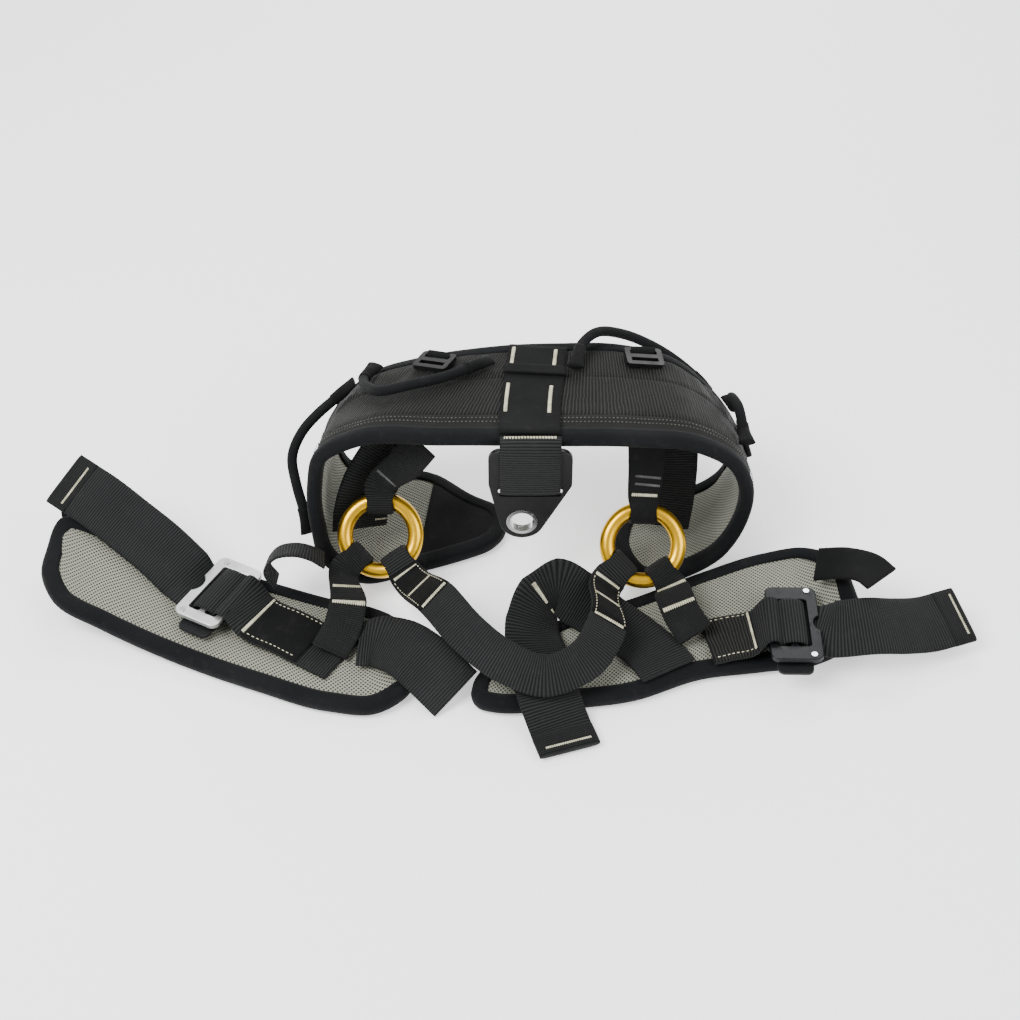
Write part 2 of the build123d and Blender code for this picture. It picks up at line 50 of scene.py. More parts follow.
# ---------------------------------------------------------------- driving dimensions
CENTRE = Vector((-5.6, 13.8, -0.77))    # middle of the footprint, from the middle of the waist opening

WEBBING = 2.4                   # thickness of load webbing
WIDE = 45.0                     # width of the back, hip and leg webbing
BRIDGE = 31.0                   # width of the bridge
LINK = 28.0                     # width of the link, ring and riser webbing
TIP = 5.0                       # thickness of a folded and sewn end
TIP_LENGTH = 14.0

RING_RADIUS = 27.0              # of a ring, to the middle of its bar
RING_BAR = 6.0
RING_CLEARANCE = 1.0
GATHERED = 0.7                  # share of its width that webbing keeps inside a ring

LOOP_TUBE = 4.0                 # radius of a gear loop
PLATE_X = 15.0
PLATE_Y = 33.0
PLATE = 5.0
BAR_LOW = 98.0
BUCKLE = 4.0
BUCKLE_BAR = 6.0
MIDDLE_BAR_AT = 15.0            # from the fixed bar to the bar that the tail turns over
LOCK_FOLD = 3.7                 # radius of the thin webbing round an adjuster's bar
WRAP_RADIUS = 4.1               # of the tail's webbing round that bar
WRAP_REACH = 2.2                # how much longer than tall that turn is

FINE = 9                        # steps between two points of a strap or pad
TUBE_SIDES = 16
REST_GAP = 0.0002               # the least height over the surface that the saddle lies on, in metres
X_AXIS = Vector((1, 0, 0))
UPWARDS = Vector((0, 0, 1))
FORWARDS = Vector((0, -0.74, 0.67))     # the way that the rings and most of the front webbing face
TILTED = Vector((0, -0.35, 0.94))       # the way that the webbing tails face

# ---------------------------------------------------------------- outlines of the padded parts
# Pairs of points across the middle surface: front edge, back edge.
BELT = [
    ((-6, 70, 6), (-2, 108, 6)), ((-34, 56, 6), (-28, 122, 6)),
    ((-78, 39, 6), (-66, 152, 6)), ((-115, 29, 6), (-108, 157, 7)),
    ((-140, 36, 16), (-135, 151, 24)), ((-147, 38, 50), (-145, 155, 46)),
    ((-148, 43, 86), (-134, 153, 78)), ((-142, 45, 114), (-109, 157, 104)),
    ((-118, 46, 129), (-63, 154, 124)), ((-51, 44, 133), (-8, 157, 132)),
    ((22, 42, 134), (39, 159, 133)), ((95, 42, 133), (86, 160, 131)), ((139, 43, 127), (126, 156, 121)),
    ((168, 43, 109), (154, 155, 95)), ((179, 44, 82), (175, 156, 63)), ((176, 45, 50), (186, 156, 36)),
    ((160, 43, 18), (178, 153, 13)), ((126, 31, 6), (148, 134, 6)), ((101, 28, 6), (114, 122, 6)),
    ((78, 44, 6), (91, 112, 6)),
]
LEFT_PAD = [
    ((-352, -3, 36), (-353, 27, 40)), ((-338, -17, 26), (-347, 55, 44)), ((-307, -30, 16), (-302, 52, 31)),
    ((-244, -58, 7), (-240, 38, 15)), ((-183, -84, 6), (-180, 19, 8)), ((-130, -103, 6), (-133, 3, 6)),
    ((-96, -105, 6), (-104, -8, 9)), ((-76, -92, 8), (-86, -20, 11)), ((-64, -78, 12), (-74, -38, 15)),
]
RIGHT_PAD = [
    ((-29, -99, 6), (-24, -70, 6)), ((-10, -104, 6), (-2, -50, 6)), ((36, -101, 6), (38, -18, 6)),
    ((89, -93, 6), (94, 5, 6)), ((140, -72, 6), (148, 31, 8)), ((184, -65, 6), (195, 46, 14)),
    ((229, -58, 8), (229, 45, 22)), ((252, -46, 13), (251, 24, 30)), ((262, -38, 20), (258, -6, 31)),
]

# ---------------------------------------------------------------- routes of the webbing
CENTRE_STRAP = [(14, 43, 141.6), (16, 85, 141.4), (19, 118, 141), (22, 150, 140.6)]
BRIDGE_ROUTE = [(-52, -36, 48), (-29, -66, 43), (-4, -86, 37), (25, -97, 34), (54, -84, 37), (70, -56, 41)]
LEFT_LINK_ROUTE = [(-121, -17, 28), (-124, -38, 23), (-132, -60, 20)]
RIGHT_LINK_ROUTE = [(122, -8, 30), (128, -28, 26), (137, -46, 23)]
LEFT_RING_STRAP = [(-66, 60, 117), (-79, 58, 100)]
RIGHT_RING_STRAP = [(102, 62, 121), (103, 60, 100)]
LEFT_HIP = [(-78, 82, 108), (-94, 76, 90), (-107, 70, 70), (-115, 64, 48), (-117, 60, 32)]
HIP_FACE = Vector((0.45, -0.62, 0.64))
RIGHT_HIP = [(120, 92, 112), (122, 84, 84), (121, 78, 50), (118, 72, 24)]
LEFT_TAIL = [(-246, 10, 31), (-267, 27, 41), (-292, 45, 50), (-317, 63, 58), (-334, 74, 62)]
LEFT_TAIL_FACE = Vector((0, -0.55, 0.83))
RIGHT_TAIL = [(238, -46, 29), (262, -48, 34), (290, -40, 26), (312, -32, 20), (326, -27, 20)]
LEFT_BLOCK = [(-191, -23, 20), (-163, -38, 16), (-141, -51, 14), (-123, -62, 13)]
RIGHT_BLOCK = [(180, -41, 20), (162, -43, 16), (146, -46, 14)]
LEFT_WRAP = [
    (-111, -49, 16.5), (-98, -50, 20), (-82, -58, 24), (-66, -72, 25), (-49, -86, 17), (-39, -92, 9),
]
LEFT_WRAP_FACE = Vector((0, -0.5, 0.87))
LEFT_WRAP_BANKS = {0: (0, 0, 1), 1: (0, -0.2, 0.98), 2: (0, -0.35, 0.94)}
RIGHT_WRAP = [
    (116, -74, 14), (108, -60, 14.5), (92, -40, 15), (72, -23, 17), (52, -12, 26), (35, -9, 35),
    (22, -19, 33), (17, -38, 25), (19, -60, 19.5), (24, -84, 16), (29, -104, 15),
    (33, -114, 9), (36, -121, 5.2), (38, -127, 4.8),
]
RIGHT_WRAP_BANKS = {
    3: (0, -0.1, 1), 4: (0.15, -0.5, 0.85), 5: (0.45, -0.8, 0.5), 6: (0.75, -0.3, 0.6), 7: (0.45, 0, 0.9),
}
LEFT_RISER = [(-176, 2, 31), (-183, 6, 42), (-176, 12, 50), (-162, 14, 52), (-149, 13, 49), (-140, 12, 43)]
PAD_LOOP = [(-318, 26, 20), (-326, 46, 26), (-334, 64, 34), (-335, 68, 44)]
PAD_STRAP = [(232, 14, 37), (250, 6, 46), (266, -6, 52), (274, -18, 53)]
KEEPER = [(18.5, 112, 143.6), (19.4, 122, 143.6)]


# ---------------------------------------------------------------- curves
def metres(point):
    """A point of the saddle in the frame."""
    return (point - CENTRE) / 1000


def smooth(points, steps=FINE):
    """Points along a smooth curve through the given vectors, spaced by the spans between them."""
    spans = [(b - a).length for a, b in zip(points, points[1:])]
    slopes = [(points[1] - points[0]) / spans[0]]
    for i in range(1, len(spans)):
        before = (points[i] - points[i - 1]) / spans[i - 1]
        after = (points[i + 1] - points[i]) / spans[i]
        slopes.append((before * spans[i] + after * spans[i - 1]) / (spans[i - 1] + spans[i]))
    slopes.append((points[-1] - points[-2]) / spans[-1])
    result = []
    for i, span in enumerate(spans):
        for step in range(steps):
            t = step / steps
            start = points[i] * (2 * t**3 - 3 * t**2 + 1) + slopes[i] * span * (t**3 - 2 * t**2 + t)
            end = points[i + 1] * (3 * t**2 - 2 * t**3) + slopes[i + 1] * span * (t**3 - t**2)
            result.append(start + end)
    return result + [points[-1].copy()]


def blended(values, steps=FINE):
    """Vectors turned evenly from each of the given ones to the next."""
    result = []
    for a, b in zip(values, values[1:]):
        result += [a.lerp(b, step / steps) for step in range(steps)]
    return result + [values[-1]]


def tangents(points):
    """Unit directions along a run of points."""
    before = [points[0]] + points[:-1]
    after = points[1:] + [points[-1]]
    return [(b - a).normalized() for a, b in zip(before, after)]


def run_lengths(points):
    """How far along a run each of its points is."""
    lengths = [0.0]
    for a, b in zip(points, points[1:]):
        lengths.append(lengths[-1] + (b - a).length)
    return lengths


def arc(centre, out, face, radius, turns):
    """Points round a bar, by their turn in degrees from its outer side towards its face."""
    turned = [math.radians(turn) for turn in turns]
    return [centre + (out * math.cos(turn) + face * math.sin(turn)) * radius for turn in turned]


def eased(value):
    """0 to 1 with a soft start and a soft stop."""
    value = min(1.0, max(0.0, value))
    return value * value * (3 - 2 * value)


def facing(route, face=FORWARDS, banks=None):
    """Stations of a strap whose face looks one way, apart from those that bank, by their number."""
    points = [Vector(point) for point in route]
    faces = [Vector(banks[i]) if banks and i in banks else face for i in range(len(points))]
    return [(p, t.cross(f).normalized()) for p, t, f in zip(points, tangents(points), faces)]


def lying(route, side):
    """Stations of a strap whose width keeps one direction."""
    return [(Vector(point), Vector(side).normalized()) for point in route]


# ---------------------------------------------------------------- places of the rings and buckles
class Ring:
    """Where a ring lies: it faces forwards, and angles run anticlockwise as it is faced."""

    def __init__(self, centre):
        self.centre = Vector(centre)
        self.face = FORWARDS.normalized()
        self.up = self.face.cross(X_AXIS).normalized()

    def outwards(self, degrees):
        angle = math.radians(degrees)
        return X_AXIS * math.cos(angle) + self.up * math.sin(angle)

    def fold(self, degrees, width, leaving):
        """Stations of webbing folded round the bar, from behind it to its front, or the reverse."""
        half = math.asin(GATHERED * width / 2 / RING_RADIUS)
        bow = RING_RADIUS * (1 - math.cos(half)) / 2
        radius = RING_BAR + bow + RING_CLEARANCE + WEBBING / 2
        out = self.outwards(degrees)
        side = out.cross(self.face) * GATHERED
        middle = self.centre + out * (RING_RADIUS - bow)
        stations = [(point, side) for point in arc(middle, out, self.face, radius, range(315, 89, -45))]
        stations.append((stations[-1][0] + out * 9, side * (0.5 + 0.5 / GATHERED)))
        if leaving:
            return stations
        return [(point, -side) for point, side in reversed(stations)]


class Buckle:
    """Where a buckle lies: the middle of its fixed bar and the way to its webbing tail."""

    def __init__(self, bar, tail):
        self.bar = Vector(bar)
        self.tail = Vector(tail).normalized()
        self.side = UPWARDS.cross(self.tail).normalized()
        self.face = self.tail.cross(self.side).normalized()

    def fold(self):
        """Stations of webbing folded round the fixed bar, from under it to its top."""
        radius = math.hypot(BUCKLE / 2, BUCKLE_BAR / 2) + 0.7 + WEBBING / 2
        points = arc(self.bar, self.tail, self.face, radius, range(-140, 141, 40))
        return [(point, self.side) for point in points]

    def wrap(self):
        """Stations of the tail's webbing turned over the middle bar."""
        middle = self.bar + self.tail * MIDDLE_BAR_AT
        points = arc(middle, self.tail * WRAP_REACH, self.face, WRAP_RADIUS, range(-160, 161, 20))
        return [(point, self.side) for point in points]


LEFT_RING = Ring((-99, 39, 44))
RIGHT_RING = Ring((101, 28, 44))
LEFT_BUCKLE = Buckle((-205, -13, 26), (-0.885, 0.466, 0.02))
RIGHT_BUCKLE = Buckle((193, -40, 28), (0.995, -0.03, 0.02))


# ---------------------------------------------------------------- making pieces
def finished(name, mesh, material, body=ROOT):
    """A mesh as a piece of the saddle, with its finish, riding on a body."""
    tidy = bmesh.new()
    tidy.from_mesh(mesh)
    bmesh.ops.recalc_face_normals(tidy, faces=tidy.faces)
    tidy.to_mesh(mesh)
    tidy.free()
    mesh.shade_smooth()
    mesh.materials.append(material)
    piece = bpy.data.objects.new(name, mesh)
    bpy.context.scene.collection.objects.link(piece)
    if body:
        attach(piece, body)
    return piece


def lofted(name, sections, charts, closed=False):
    """A mesh through closed sections, with a chart place in metres for every point."""
    size = len(sections[0])
    points = [metres(point) for section in sections for point in section]
    for point in points:
        point.z = max(point.z, REST_GAP)
    faces = []
    for row in range(len(sections) if closed else len(sections) - 1):
        after = (row + 1) % len(sections)
        for i in range(size):
            j = (i + 1) % size
            faces.append((row * size + i, row * size + j, after * size + j, after * size + i))
    if not closed:
        faces.append(tuple(range(size)))
        faces.append(tuple(range(len(points) - size, len(points))))
    mesh = bpy.data.meshes.new(name)
    mesh.from_pydata(points, [], faces)
    places = [(u / 1000, v / 1000) for chart in charts for u, v in chart]
    chart_map = mesh.uv_layers.new(name="weave")
    for corner in mesh.loops:
        chart_map.data[corner.index].uv = places[corner.vertex_index]
    return mesh


class Strap:
    """A run of webbing: its middle line and, at each step, the ways along, across and out of its face."""

    def __init__(self, stations, width, thickness=WEBBING, turned=1, cup=0.0, ripple=0.0):
        self.points = smooth([point for point, side in stations])
        ways = blended([side for point, side in stations])
        self.alongs = tangents(self.points)
        self.shares = [way.length for way in ways]
        self.sides = [(way - along * way.dot(along)).normalized() for way, along in zip(ways, self.alongs)]
        self.ups = [side.cross(along) * turned for side, along in zip(self.sides, self.alongs)]
        self.lengths = run_lengths(self.points)
        self.width = width
        self.thickness = thickness
        self.cup = cup
        self.ripple = ripple

    def bow(self, length, share):
        """How far the face stands off the middle line there, from cupping and ripples."""
        wave = math.sin(length / 9.0 + self.width) + math.sin(length / 23.0 + share * 1.7)
        return self.cup * (1 - share * share) + self.ripple * wave * (0.3 + 0.5 * share * share)

    def on(self, length, across, lift=0.0):
        """A point on the strap's face."""
        i = min(max(bisect.bisect(self.lengths, length) - 1, 0), len(self.points) - 2)
        t = (length - self.lengths[i]) / max(self.lengths[i + 1] - self.lengths[i], 1e-6)
        point = self.points[i].lerp(self.points[i + 1], t)
        share_of_width = self.shares[i] * (1 - t) + self.shares[i + 1] * t
        side = self.sides[i].lerp(self.sides[i + 1], t) * share_of_width
        up = self.ups[i].lerp(self.ups[i + 1], t)
        share = 2 * across / self.width
        return point + side * across + up * (self.thickness / 2 + lift + self.bow(length, share))

    def section(self, i, low=-0.5, high=0.5, narrow=1.0, half=9):
        """A closed loop round the webbing at one step, and its chart."""
        loop, chart = [], []
        for height in (high, low):
            shares = [k / half for k in range(-half, half + 1)]
            if height == low:
                shares.reverse()
            for share in shares:
                rounded = 1 - 0.45 * abs(share) ** 10
                lift = height * self.thickness * rounded + self.bow(self.lengths[i], share)
                across = share * self.width / 2 * narrow
                loop.append(self.points[i] + self.sides[i] * (across * self.shares[i]) + self.ups[i] * lift)
                chart.append((self.lengths[i], across))
        return loop, chart

    def mesh(self, name, first=0, last=None, low=-0.5, high=0.5, narrow=1.0):
        steps = range(len(self.points))[first:last]
        pairs = [self.section(i, low, high, narrow) for i in steps]
        return lofted(name, [loop for loop, chart in pairs], [chart for loop, chart in pairs])

    def step_at(self, length):
        return bisect.bisect(self.lengths, length)


# ---------------------------------------------------------------- sewing
def threads(name, stitches, material, radius=0.5, body=ROOT):
    """Short plump stitches, each from one point to another, as one piece."""
    points, faces = [], []
    for a, b in stitches:
        along = (b - a).normalized()
        across = along.orthogonal().normalized()
        out = along.cross(across)
        start = len(points)
        points.append(a)
        for share in (0.22, 0.78):
            for k in range(6):
                turn = k * math.pi / 3
                points.append(a.lerp(b, share) + (across * math.cos(turn) + out * math.sin(turn)) * radius)
        points.append(b)
        for k in range(6):
            j = (k + 1) % 6
            faces.append((start, start + 1 + j, start + 1 + k))
            faces.append((start + 1 + k, start + 1 + j, start + 7 + j, start + 7 + k))
            faces.append((start + 13, start + 7 + k, start + 7 + j))
    mesh = bpy.data.meshes.new(name)
    mesh.from_pydata([tuple(metres(point)) for point in points], [], faces)
    return finished(name, mesh, material, body=body)


def bar_tack(strap, length, start, finish, half=1.5, pitch=0.85):
    """A dense zigzag sewn across the strap."""
    count = round((finish - start) / pitch)
    result = []
    for k in range(count):
        across = start + k * pitch
        lean = 0.5 if k % 2 else -0.1
        result.append((strap.on(length - half, across, 0.1), strap.on(length + half, across + lean, 0.1)))
    return result


def long_tack(strap, start, finish, across):
    """A dense zigzag sewn along the strap."""
    half, pitch = 1.6, 0.85
    count = round((finish - start) / pitch)
    result = []
    for k in range(count):
        length = start + k * pitch
        lean = 0.5 if k % 2 else -0.1
        result.append((strap.on(length, across - half, 0.1), strap.on(length + lean, across + half, 0.1)))
    return result


def seam(strap, start, finish, across):
    """A row of single stitches along the strap."""
    pitch, dash, lift = 3.9, 2.5, 0.05
    places = [start + k * pitch for k in range(int((finish - start) / pitch))]
    return [(strap.on(place, across, lift), strap.on(place + dash, across, lift)) for place in places]


# ---------------------------------------------------------------- finishes
class Graph:
    """Short words for placing and joining shader nodes in one tree."""

    def __init__(self, tree):
        self.tree = tree
        self.nodes = tree.nodes

    def add(self, kind, **settings):
        node = self.nodes.new(kind)
        for key, value in settings.items():
            setattr(node, key, value)
        return node

    def join(self, source, target):
        self.tree.links.new(source, target)

    def sum(self, operation, first, second=None, third=None):
        """A math node. Numbers are set on it and sockets are joined to it."""
        node = self.add("ShaderNodeMath", operation=operation)
        for socket, value in zip(node.inputs, (first, second, third)):
            if isinstance(value, bpy.types.NodeSocket):
                self.join(value, socket)
            elif value is not None:
                socket.default_value = value
        return node.outputs[0]

    def grain(self, vector, scale, detail=3.0, roughness=0.6):
        node = self.add("ShaderNodeTexNoise")
        node.inputs["Scale"].default_value = scale
        node.inputs["Detail"].default_value = detail
        node.inputs["Roughness"].default_value = roughness
        self.join(vector, node.inputs["Vector"])
        return node.outputs["Fac"]

    def shade(self, mask, dark, light):
        """A colour between two, by a mask."""
        node = self.add("ShaderNodeMix", data_type="RGBA")
        self.join(mask, node.inputs[0])
        node.inputs[6].default_value = (*dark, 1)
        node.inputs[7].default_value = (*light, 1)
        return node.outputs[2]

    def between(self, mask, low, high):
        """A value between two, by a mask."""
        node = self.add("ShaderNodeMapRange")
        self.join(mask, node.inputs["Value"])
        node.inputs["To Min"].default_value = low
        node.inputs["To Max"].default_value = high
        return node.outputs["Result"]


def new_group(name, inputs, outputs):
    """An empty node group with named float or vector sockets. Returns its graph, entry and exit."""
    tree = bpy.data.node_groups.new(name, "ShaderNodeTree")
    for socket, kind, value in inputs:
        made = tree.interface.new_socket(name=socket, in_out="INPUT", socket_type="NodeSocket" + kind)
        if value is not None:
            made.default_value = value
    for socket, kind in outputs:
        tree.interface.new_socket(name=socket, in_out="OUTPUT", socket_type="NodeSocket" + kind)
    graph = Graph(tree)
    return graph, graph.add("NodeGroupInput"), graph.add("NodeGroupOutput")


def rib_weave_group():
    """Ribs across the length of woven tape, with the yarns that cross them."""
    graph, entry, leave = new_group(
        "rib weave",
        [
            ("Chart", "Vector", None), ("Rib Pitch", "Float", 0.002),
            ("Yarn Pitch", "Float", 0.0012), ("Wander", "Float", 0.3),
        ],
        [("Crest", "Float"), ("Height", "Float")],
    )
    place = graph.add("ShaderNodeSeparateXYZ")
    graph.join(entry.outputs["Chart"], place.inputs[0])
    drift = graph.grain(entry.outputs["Chart"], 90.0, 2.0)
    drift = graph.sum("MULTIPLY", graph.sum("SUBTRACT", drift, 0.5), entry.outputs["Wander"])
    turns = graph.sum("ADD", graph.sum("DIVIDE", place.outputs[0], entry.outputs["Rib Pitch"]), drift)
    rib = graph.sum("MULTIPLY_ADD", graph.sum("SINE", graph.sum("MULTIPLY", turns, 2 * math.pi)), 0.5, 0.5)
    yarns = graph.sum("DIVIDE", place.outputs[1], entry.outputs["Yarn Pitch"])
    yarn = graph.sum("MULTIPLY_ADD", graph.sum("SINE", graph.sum("MULTIPLY", yarns, 2 * math.pi)), 0.5, 0.5)
    crest = graph.sum("MULTIPLY", rib, graph.sum("MULTIPLY_ADD", yarn, 0.25, 0.75))
    graph.join(crest, leave.inputs["Crest"])
    graph.join(graph.sum("POWER", crest, 0.8), leave.inputs["Height"])
    return graph.tree


def plain_weave_group():
    """A close basket weave with a soft nap, from the piece's own shape."""
    graph, entry, leave = new_group(
        "plain weave",
        [("Chart", "Vector", None), ("Pitch", "Float", 0.001)],
        [("Crest", "Float"), ("Height", "Float")],
    )
    place = graph.add("ShaderNodeSeparateXYZ")
    graph.join(entry.outputs["Chart"], place.inputs[0])
    waves = []
    for axis in (0, 1):
        turns = graph.sum("DIVIDE", place.outputs[axis], entry.outputs["Pitch"])
        waves.append(graph.sum("SINE", graph.sum("MULTIPLY", turns, 2 * math.pi)))
    weave = graph.sum("MULTIPLY_ADD", graph.sum("MULTIPLY", waves[0], waves[1]), 0.5, 0.5)
    nap = graph.grain(entry.outputs["Chart"], 2200.0, 2.0)
    crest = graph.sum("MULTIPLY_ADD", weave, 0.55, graph.sum("MULTIPLY", nap, 0.45))
    graph.join(crest, leave.inputs["Crest"])
    graph.join(crest, leave.inputs["Height"])
    return graph.tree


def spacer_holes_group():
    """Staggered holes of a spacer mesh."""
    graph, entry, leave = new_group(
        "spacer holes",
        [("Chart", "Vector", None), ("Pitch", "Float", 0.0026)],
        [("Cloth", "Float"), ("Height", "Float")],
    )
    turned = graph.add("ShaderNodeMapping")
    turned.inputs["Rotation"].default_value = (0, 0, math.radians(45))
    graph.join(entry.outputs["Chart"], turned.inputs["Vector"])
    scaled = graph.add("ShaderNodeVectorMath", operation="DIVIDE")
    graph.join(turned.outputs[0], scaled.inputs[0])
    graph.join(entry.outputs["Pitch"], scaled.inputs[1])
    cells = graph.add("ShaderNodeSeparateXYZ")
    graph.join(scaled.outputs[0], cells.inputs[0])
    reach = []
    for axis in (0, 1):
        part = graph.sum("SUBTRACT", graph.sum("FRACT", cells.outputs[axis]), 0.5)
        reach.append(graph.sum("MULTIPLY", part, part))
    distance = graph.sum("SQRT", graph.sum("ADD", reach[0], reach[1]))
    cloth = graph.add("ShaderNodeMapRange", interpolation_type="SMOOTHSTEP")
    graph.join(distance, cloth.inputs["Value"])
    cloth.inputs["From Min"].default_value = 0.2
    cloth.inputs["From Max"].default_value = 0.38
    graph.join(cloth.outputs["Result"], leave.inputs["Cloth"])
    graph.join(cloth.outputs["Result"], leave.inputs["Height"])
    return graph.tree


def handling_group():
    """Uneven fading and a little dust from use."""
    graph, entry, leave = new_group(
        "handling",
        [("Scale", "Float", 18.0)],
        [("Fade", "Float"), ("Dust", "Float")],
    )
    place = graph.add("ShaderNodeTexCoord")
    for output, factor, low, high in (("Fade", 1.0, 0.3, 0.7), ("Dust", 9.0, 0.55, 0.75)):
        scale = graph.sum("MULTIPLY", entry.outputs["Scale"], factor)
        texture = graph.add("ShaderNodeTexNoise")
        graph.join(place.outputs["Object"], texture.inputs["Vector"])
        graph.join(scale, texture.inputs["Scale"])
        texture.inputs["Detail"].default_value = 4.0
        spread = graph.add("ShaderNodeMapRange", interpolation_type="SMOOTHSTEP")
        graph.join(texture.outputs["Fac"], spread.inputs["Value"])
        spread.inputs["From Min"].default_value = low
        spread.inputs["From Max"].default_value = high
        graph.join(spread.outputs["Result"], leave.inputs[output])
    return graph.tree


RIB_WEAVE = rib_weave_group()
PLAIN_WEAVE = plain_weave_group()
SPACER_HOLES = spacer_holes_group()
HANDLING = handling_group()


class Finish:
    """A material under way: its graph, its shader and what colours it."""

    def __init__(self, name, roughness, **sockets):
        self.material = bpy.data.materials.new(name)
        self.material.use_nodes = True
        self.graph = Graph(self.material.node_tree)
        self.shader = self.graph.nodes["Principled BSDF"]
        self.shader.inputs["Roughness"].default_value = roughness
        for socket, value in sockets.items():
            self.shader.inputs[socket.replace("_", " ")].default_value = value

    def effect(self, group, **values):
        """Places a shared effect, with its own values, on the piece's chart where it has one."""
        node = self.graph.add("ShaderNodeGroup", node_tree=group)
        for socket, value in values.items():
            node.inputs[socket.replace("_", " ")].default_value = value
        if "Chart" in node.inputs:
            chart = self.graph.add("ShaderNodeUVMap", uv_map="weave")
            self.graph.join(chart.outputs[0], node.inputs["Chart"])
        return node.outputs

    def coloured(self, mask, dark, light, fade=None, faded=None):
        colour = self.graph.shade(mask, dark, light)
        if fade is not None:
            node = self.graph.add("ShaderNodeMix", data_type="RGBA")
            self.graph.join(fade, node.inputs[0])
            self.graph.join(colour, node.inputs[6])
            node.inputs[7].default_value = (*faded, 1)
            colour = node.outputs[2]
        self.graph.join(colour, self.shader.inputs["Base Color"])

    def embossed(self, height, distance, strength=1.0):
        bump = self.graph.add("ShaderNodeBump")
        bump.inputs["Distance"].default_value = distance
        bump.inputs["Strength"].default_value = strength
        self.graph.join(height, bump.inputs["Height"])
        self.graph.join(bump.outputs[0], self.shader.inputs["Normal"])


def webbing_finish(name, dark, light, rib, wander=0.25, depth=0.0006):
    finish = Finish(name, 0.72, Sheen_Weight=0.02, Sheen_Roughness=0.5, Specular_IOR_Level=0.16)
    weave = finish.effect(RIB_WEAVE, Rib_Pitch=rib, Yarn_Pitch=rib * 0.62, Wander=wander)
    handled = finish.effect(HANDLING, Scale=16.0)
    fade = finish.graph.sum("MULTIPLY", handled["Dust"], 0.10)
    finish.coloured(weave["Crest"], dark, light, fade, (0.035, 0.035, 0.033))
    finish.graph.join(finish.graph.between(handled["Fade"], 0.62, 0.85), finish.shader.inputs["Roughness"])
    finish.embossed(weave["Height"], depth)
    return finish.material


def cloth_finish(name, dark, light, pitch, depth=0.0003, sheen=0.02):
    finish = Finish(name, 0.85, Sheen_Weight=sheen, Sheen_Roughness=0.45, Specular_IOR_Level=0.14)
    weave = finish.effect(PLAIN_WEAVE, Pitch=pitch)
    handled = finish.effect(HANDLING, Scale=14.0)
    fade = finish.graph.sum("MULTIPLY", handled["Dust"], 0.12)
    finish.coloured(weave["Crest"], dark, light, fade, (0.03, 0.03, 0.028))
    finish.graph.join(finish.graph.between(handled["Fade"], 0.75, 0.95), finish.shader.inputs["Roughness"])
    finish.embossed(weave["Height"], depth)
    return finish.material


def spacer_mesh_finish():
    finish = Finish("grey spacer mesh", 0.8, Sheen_Weight=0.08, Sheen_Roughness=0.5, Specular_IOR_Level=0.3)
    holes = finish.effect(SPACER_HOLES, Pitch=0.00235)
    handled = finish.effect(HANDLING, Scale=22.0)
    fade = finish.graph.sum("MULTIPLY", handled["Fade"], 0.18)
    finish.coloured(holes["Cloth"], (0.012, 0.012, 0.010), (0.23, 0.235, 0.19), fade, (0.10, 0.10, 0.08))
    finish.embossed(holes["Height"], 0.0007)
    return finish.material


def thread_finish():
    finish = Finish("cream thread", 0.6, Sheen_Weight=0.1, Sheen_Roughness=0.4)
    handled = finish.effect(HANDLING, Scale=120.0)
    finish.coloured(handled["Fade"], (0.36, 0.345, 0.23), (0.58, 0.56, 0.42))
    return finish.material


def dark_thread_finish():
    finish = Finish("grey thread", 0.65, Sheen_Weight=0.05)
    handled = finish.effect(HANDLING, Scale=120.0)
    finish.coloured(handled["Fade"], (0.035, 0.035, 0.034), (0.09, 0.09, 0.085))
    return finish.material


def metal_finish(name, dark, light, roughness, spread, grain_scale, depth, metallic=1.0, coat=0.0):
    """Anodised or blasted metal: a fine grain, with rubbed patches that are a little lighter."""
    finish = Finish(name, roughness, Metallic=metallic, Coat_Weight=coat, Coat_Roughness=0.2)
    handled = finish.effect(HANDLING, Scale=30.0)
    finish.coloured(handled["Fade"], dark, light)
    rough = finish.graph.between(handled["Dust"], roughness, roughness + spread)
    finish.graph.join(rough, finish.shader.inputs["Roughness"])
    place = finish.graph.add("ShaderNodeTexCoord")
    finish.embossed(finish.graph.grain(place.outputs["Object"], grain_scale, 2.0), depth)
    return finish.material


def plastic_finish(name, dark, light, roughness=0.45, depth=0.00012):
    """Moulded nylon with a fine spark texture and a few scuffs."""
    finish = Finish(name, roughness, Specular_IOR_Level=0.3)
    handled = finish.effect(HANDLING, Scale=45.0)
    finish.coloured(handled["Dust"], dark, light)
    worn = finish.graph.between(handled["Fade"], roughness - 0.06, roughness + 0.1)
    finish.graph.join(worn, finish.shader.inputs["Roughness"])
    place = finish.graph.add("ShaderNodeTexCoord")
    finish.embossed(finish.graph.grain(place.outputs["Object"], 1500.0, 3.0), depth)
    return finish.material


def floor_finish():
    finish = Finish("pale floor", 0.9, Specular_IOR_Level=0.1, Emission_Strength=0.62)
    finish.shader.inputs["Base Color"].default_value = (0.95, 0.95, 0.95, 1)
    finish.shader.inputs["Emission Color"].default_value = (1, 1, 1, 1)
    return finish.material


